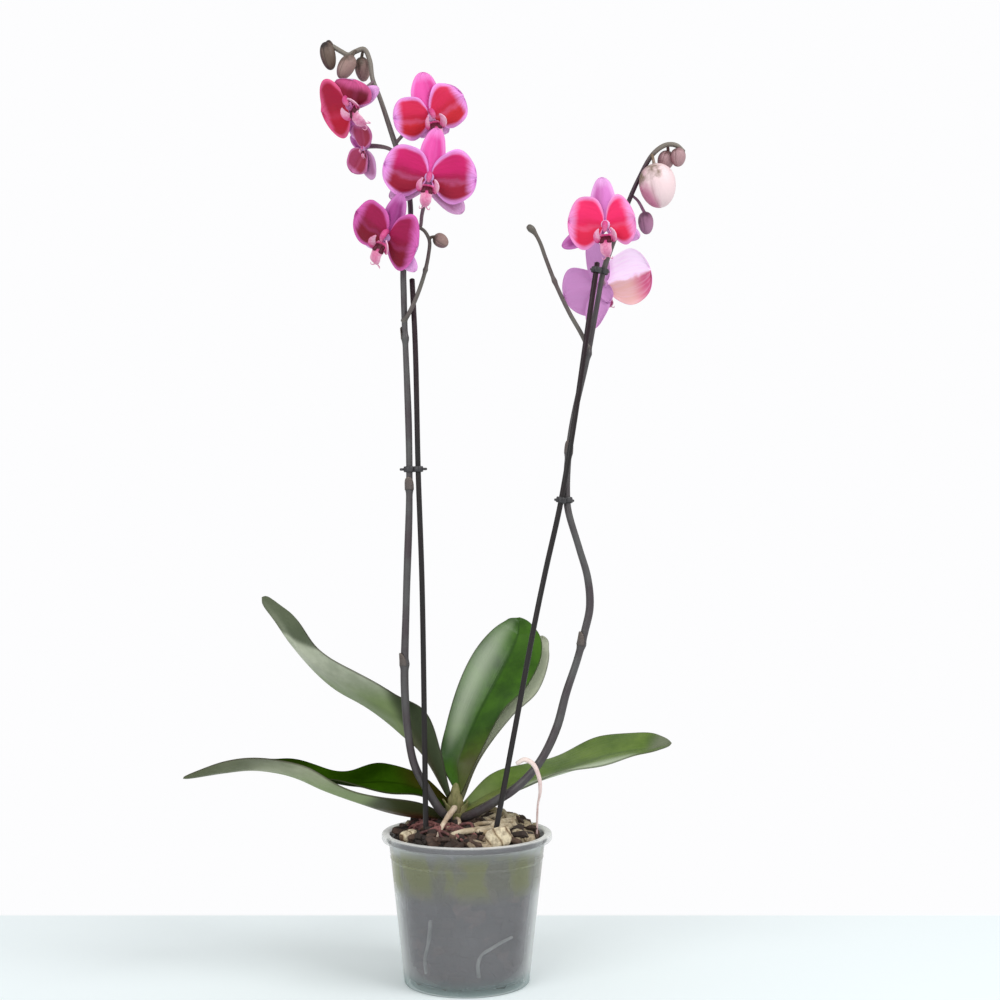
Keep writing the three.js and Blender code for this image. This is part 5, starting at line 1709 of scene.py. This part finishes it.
# %% [markdown]
# ## Turning and placing
# A flower is turned like a head: yaw to the side, pitch up or down, and roll to one shoulder. Turning the
# objects would turn their patterns too, so the points are turned instead.

# %% Placing
def flower_turn(yaw, pitch, roll):
    """The matrix that carries +Z to the way the flower faces and +Y to its top. yaw turns the face to the
    right, pitch lifts it, and roll leans the top to the left, as seen from the front."""
    y, p, r = np.radians([yaw, pitch, roll])
    face = np.array([np.sin(y) * np.cos(p), -np.cos(y) * np.cos(p), np.sin(p)])
    side = np.array([np.cos(y), np.sin(y), 0])
    turn = np.stack([side, np.cross(face, side), face], axis=1)
    spin = np.array([[np.cos(r), -np.sin(r), 0], [np.sin(r), np.cos(r), 0], [0, 0, 1]])
    return turn @ spin


def placed(shell, turn, scale, at):
    """A shell scaled, turned and moved."""
    return Shell(scale * shell.points @ turn.T + np.array(at), shell.faces, shell.values)


def nearest(line, point):
    """The line's station nearest to a point."""
    return line[np.argmin(np.linalg.norm(line - np.array(point), axis=1))]


print("a flower facing the camera looks along", flower_turn(0, 0, 0)[:, 2].round(3) + 0)

# %% [markdown]
# ## Stalks
# Each flower hangs on a slim stalk that leaves the spike at a joint and bends into the flower's back. It
# is a tube through a few points: the spike, one or two bends, and a straight neck behind the flower.

# %% Flower stalks
NECK_LENGTH = 9


def flower_stalk(spec, turn):
    """From the spike, out and forward, and into the back of the flower, thicker at both ends."""
    face = turn[:, 2]
    start, end = nearest(CARRIERS[spec["side"]], spec["from"]), np.array(spec["at"]) - 0.3 * face
    neck = end - NECK_LENGTH * spec["scale"] * face
    bends = spec.get("via") or [(start + neck) / 2 + [0, 0, 2.5]]
    line = even_line([start, *bends, neck, end], 60)
    t = np.linspace(0, 1, len(line))
    return tube(line, 1.2 + 0.8 * t**1.5 + 0.5 * bell(t, 0, 0.06))


print("points on a stalk:", len(flower_stalk(FLOWERS["left_flower_1"], np.eye(3)).points))

# %% [markdown]
# ## Making the flowers
# Each flower becomes four pieces: petals, sepals, lip and stalk. Joined into one they would look the same,
# but could not be told apart later.

# %% Flowers
for name, spec in FLOWERS.items():
    turn = flower_turn(*spec["turn"])
    seat = turn, spec["scale"], spec["at"]
    looks = [LOOKS[look] for look in spec["looks"]]
    for kind, form, pair in (("petal", PETAL_FORM, looks[:2]), ("sepal", SEPAL_FORM, looks[2:])):
        ring, pick = whorl(spec[kind + "s"], form)
        make_piece(f"{name}_{kind}_blades", placed(ring, *seat), pair, [f"{name}_{kind}s"], pick=pick)
    swell, *shift = spec["lip"]
    lobes = placed(lip(), np.eye(3), swell, shift)
    make_piece(f"{name}_lip_lobes", placed(lobes, *seat), lip_skin, [f"{name}_lip"])
    make_piece(f"{name}_pedicel", flower_stalk(spec, turn), stalk_skin, [f"{name}_stalk"])
tell("flowers", "left_flower", "right_flower")

# %% [markdown]
# ## The finish of buds
# A bud is waxy, dull purple where light reaches it and greener near its stalk. The blush lies on one side
# and underneath, so it follows the numbers along and across the bud rather than noise alone.

# %% Bud finish
def bud_finish(name, skin, blush, shade, seam_strength=0.6):
    """A waxy skin: a blush on the left and below, and a darker shade in ragged patches near the stalk."""
    material, tree, shader = new_material(name, 0.45, {"Specular IOR Level": 0.35})
    along, across = attribute(tree, "along"), attribute(tree, "across")
    ragged = spread(tree, noise(tree, own_place(tree), 90.0, 4.0), 0.3, 0.7, -0.25, 0.25)
    lowness = number(tree, "SUBTRACT", number(tree, "MULTIPLY", along, 0.9), across)
    body = mix(tree, spread(tree, number(tree, "ADD", lowness, ragged), 0.7, 1.6), skin, blush)
    slanting = number(tree, "ADD", along, number(tree, "MULTIPLY", across, 0.15))
    body = mix(tree, spread(tree, number(tree, "ADD", slanting, ragged), 0.42, 0.0), body, shade)
    seam = spread(tree, attribute(tree, "tone"), 0.4, 1.0, 0.0, seam_strength)
    tree.links.new(mix(tree, seam, body, shade), shader.inputs["Base Color"])
    raise_relief(tree, shader, use_group(tree, fibres, Lines=7.0, Wander=3.0)["Height"], 0.0004)
    return material


olive_bud = bud_finish("bud_olive", colour(98, 80, 70), colour(60, 24, 36), colour(44, 34, 32))
plum_bud = bud_finish("bud_plum", colour(168, 116, 148), colour(146, 96, 132), colour(112, 76, 100))
rosy_bud = bud_finish("bud_rosy", colour(170, 134, 138), colour(126, 82, 90), colour(98, 66, 66))
dusty_bud = bud_finish("bud_dusty", colour(146, 118, 112), colour(116, 84, 92), colour(84, 72, 62))
pale_bud = bud_finish("bud_pale", colour(236, 209, 212), colour(200, 126, 154), colour(118, 98, 78), 0.2)
print("materials in all:", len(bpy.data.materials))

# %% [markdown]
# ## The shape of a bud
# A bud is a closed egg of folded sepals with three shallow seams. A stretched ball has no seams, so this
# is a grid round its own axis whose radius follows a blunt half sine, pinched at the seams.

# %% Bud shape
BUD_ROWS, BUD_COLUMNS = 40, 48
POLE_GAP = 0.012


def bud(at, lean, length, thick):
    """The egg: along s from stalk to tip the radius is thick / 2 * sine(pi s) to the power 0.92, drawn in
    by 7% in three narrow seams and a little thinner towards the tip. across is -1 on the left."""
    down = unit(np.array(lean, float))
    side = unit(np.cross(down, [0.2, 1.0, 0.1]))
    other = np.cross(down, side)
    s = np.linspace(POLE_GAP, 1 - POLE_GAP, BUD_ROWS)[:, None]
    t = (1 - np.cos(np.pi * s)) / 2
    angle = np.linspace(0, 2 * np.pi, BUD_COLUMNS, endpoint=False)[None]
    seam = bell(np.sin(1.5 * angle + 0.4), 0, 0.16)
    radius = thick / 2 * np.sin(np.pi * s) ** 0.92 * (1.07 - 0.18 * t) * (1 - 0.07 * seam)
    axis = (t - 0.5) * length
    points = (np.array(at) + down * axis[..., None] + side * (radius * np.cos(angle))[..., None]
              + other * (radius * np.sin(angle))[..., None])
    return closed_grid(points, along=t, across=np.cos(angle), tone=seam)


print("points on one bud:", len(bud((0, 0, 0), (0, 0, -1), 20, 12).points))

# %% [markdown]
# ## The eight buds
# Most buds sit at the tips, each on a short stalk that bows under its weight and ends inside the bud's
# shoulder. Stalk and bud are one piece, because nothing divides them on the plant.

# %% Buds
SHOULDER, BOW = 0.42, 0.15
BUDS = {  # spike, start of the stalk, middle of the bud, direction, length, thickness, finish
    "left_bud_tip": ("left", (-93, -8, 656.5), (-97, -9, 650), (0.22, 0, -1), 20, 11, olive_bud),
    "left_bud_second": ("left", (-79, -8, 655), (-84, -14, 641), (-0.5, -0.2, -1), 19, 12, dusty_bud),
    "left_bud_third": ("left", (-71, -8, 653), (-73.5, -2, 642.5), (0.1, 0.3, -1), 17, 11, dusty_bud),
    "left_bud_branch": ("branch", (-26, -13, 519), (-18, -13, 520), (0.7, 0, -0.5), 11.5, 10, dusty_bud),
    "right_bud_large": ("right", (130, -8, 580), (133.5, -12, 558.6), (0.16, 0, -1), 31, 26, pale_bud),
    "right_bud_second": ("right", (139, -8, 587), (140, -3, 578), (-0.3, 0.2, -1), 14, 12, rosy_bud),
    "right_bud_tip": ("right", (150, -8, 585), (148, -9, 579), (0, 0, -1), 13, 11, rosy_bud),
    "right_bud_middle": ("right", (116, -8, 553), (126, -3, 534), (0.1, 0, -1), 16, 11, plum_bud),
}

for name, (side, start, at, lean, length, thick, finish) in BUDS.items():
    down = unit(np.array(lean, float))
    shoulder = np.array(at) - SHOULDER * length * down
    foot = nearest(CARRIERS[side], start)
    bow = (foot + shoulder) / 2 - BOW * length * down
    line = even_line([foot, bow, shoulder], 30)
    stalk = tube(line, np.linspace(0.9, 1.2, 30), sides=10, along=0.0, across=0.0)
    make_piece(name + "_skin", join(bud(at, lean, length, thick), stalk), finish, [name])
tell("buds", "left_bud", "right_bud")

# %% [markdown]
# ## Triangles in all
# The last line adds up the triangles of all the new pieces.


print("triangles:", sum(triangle_counts.values()))
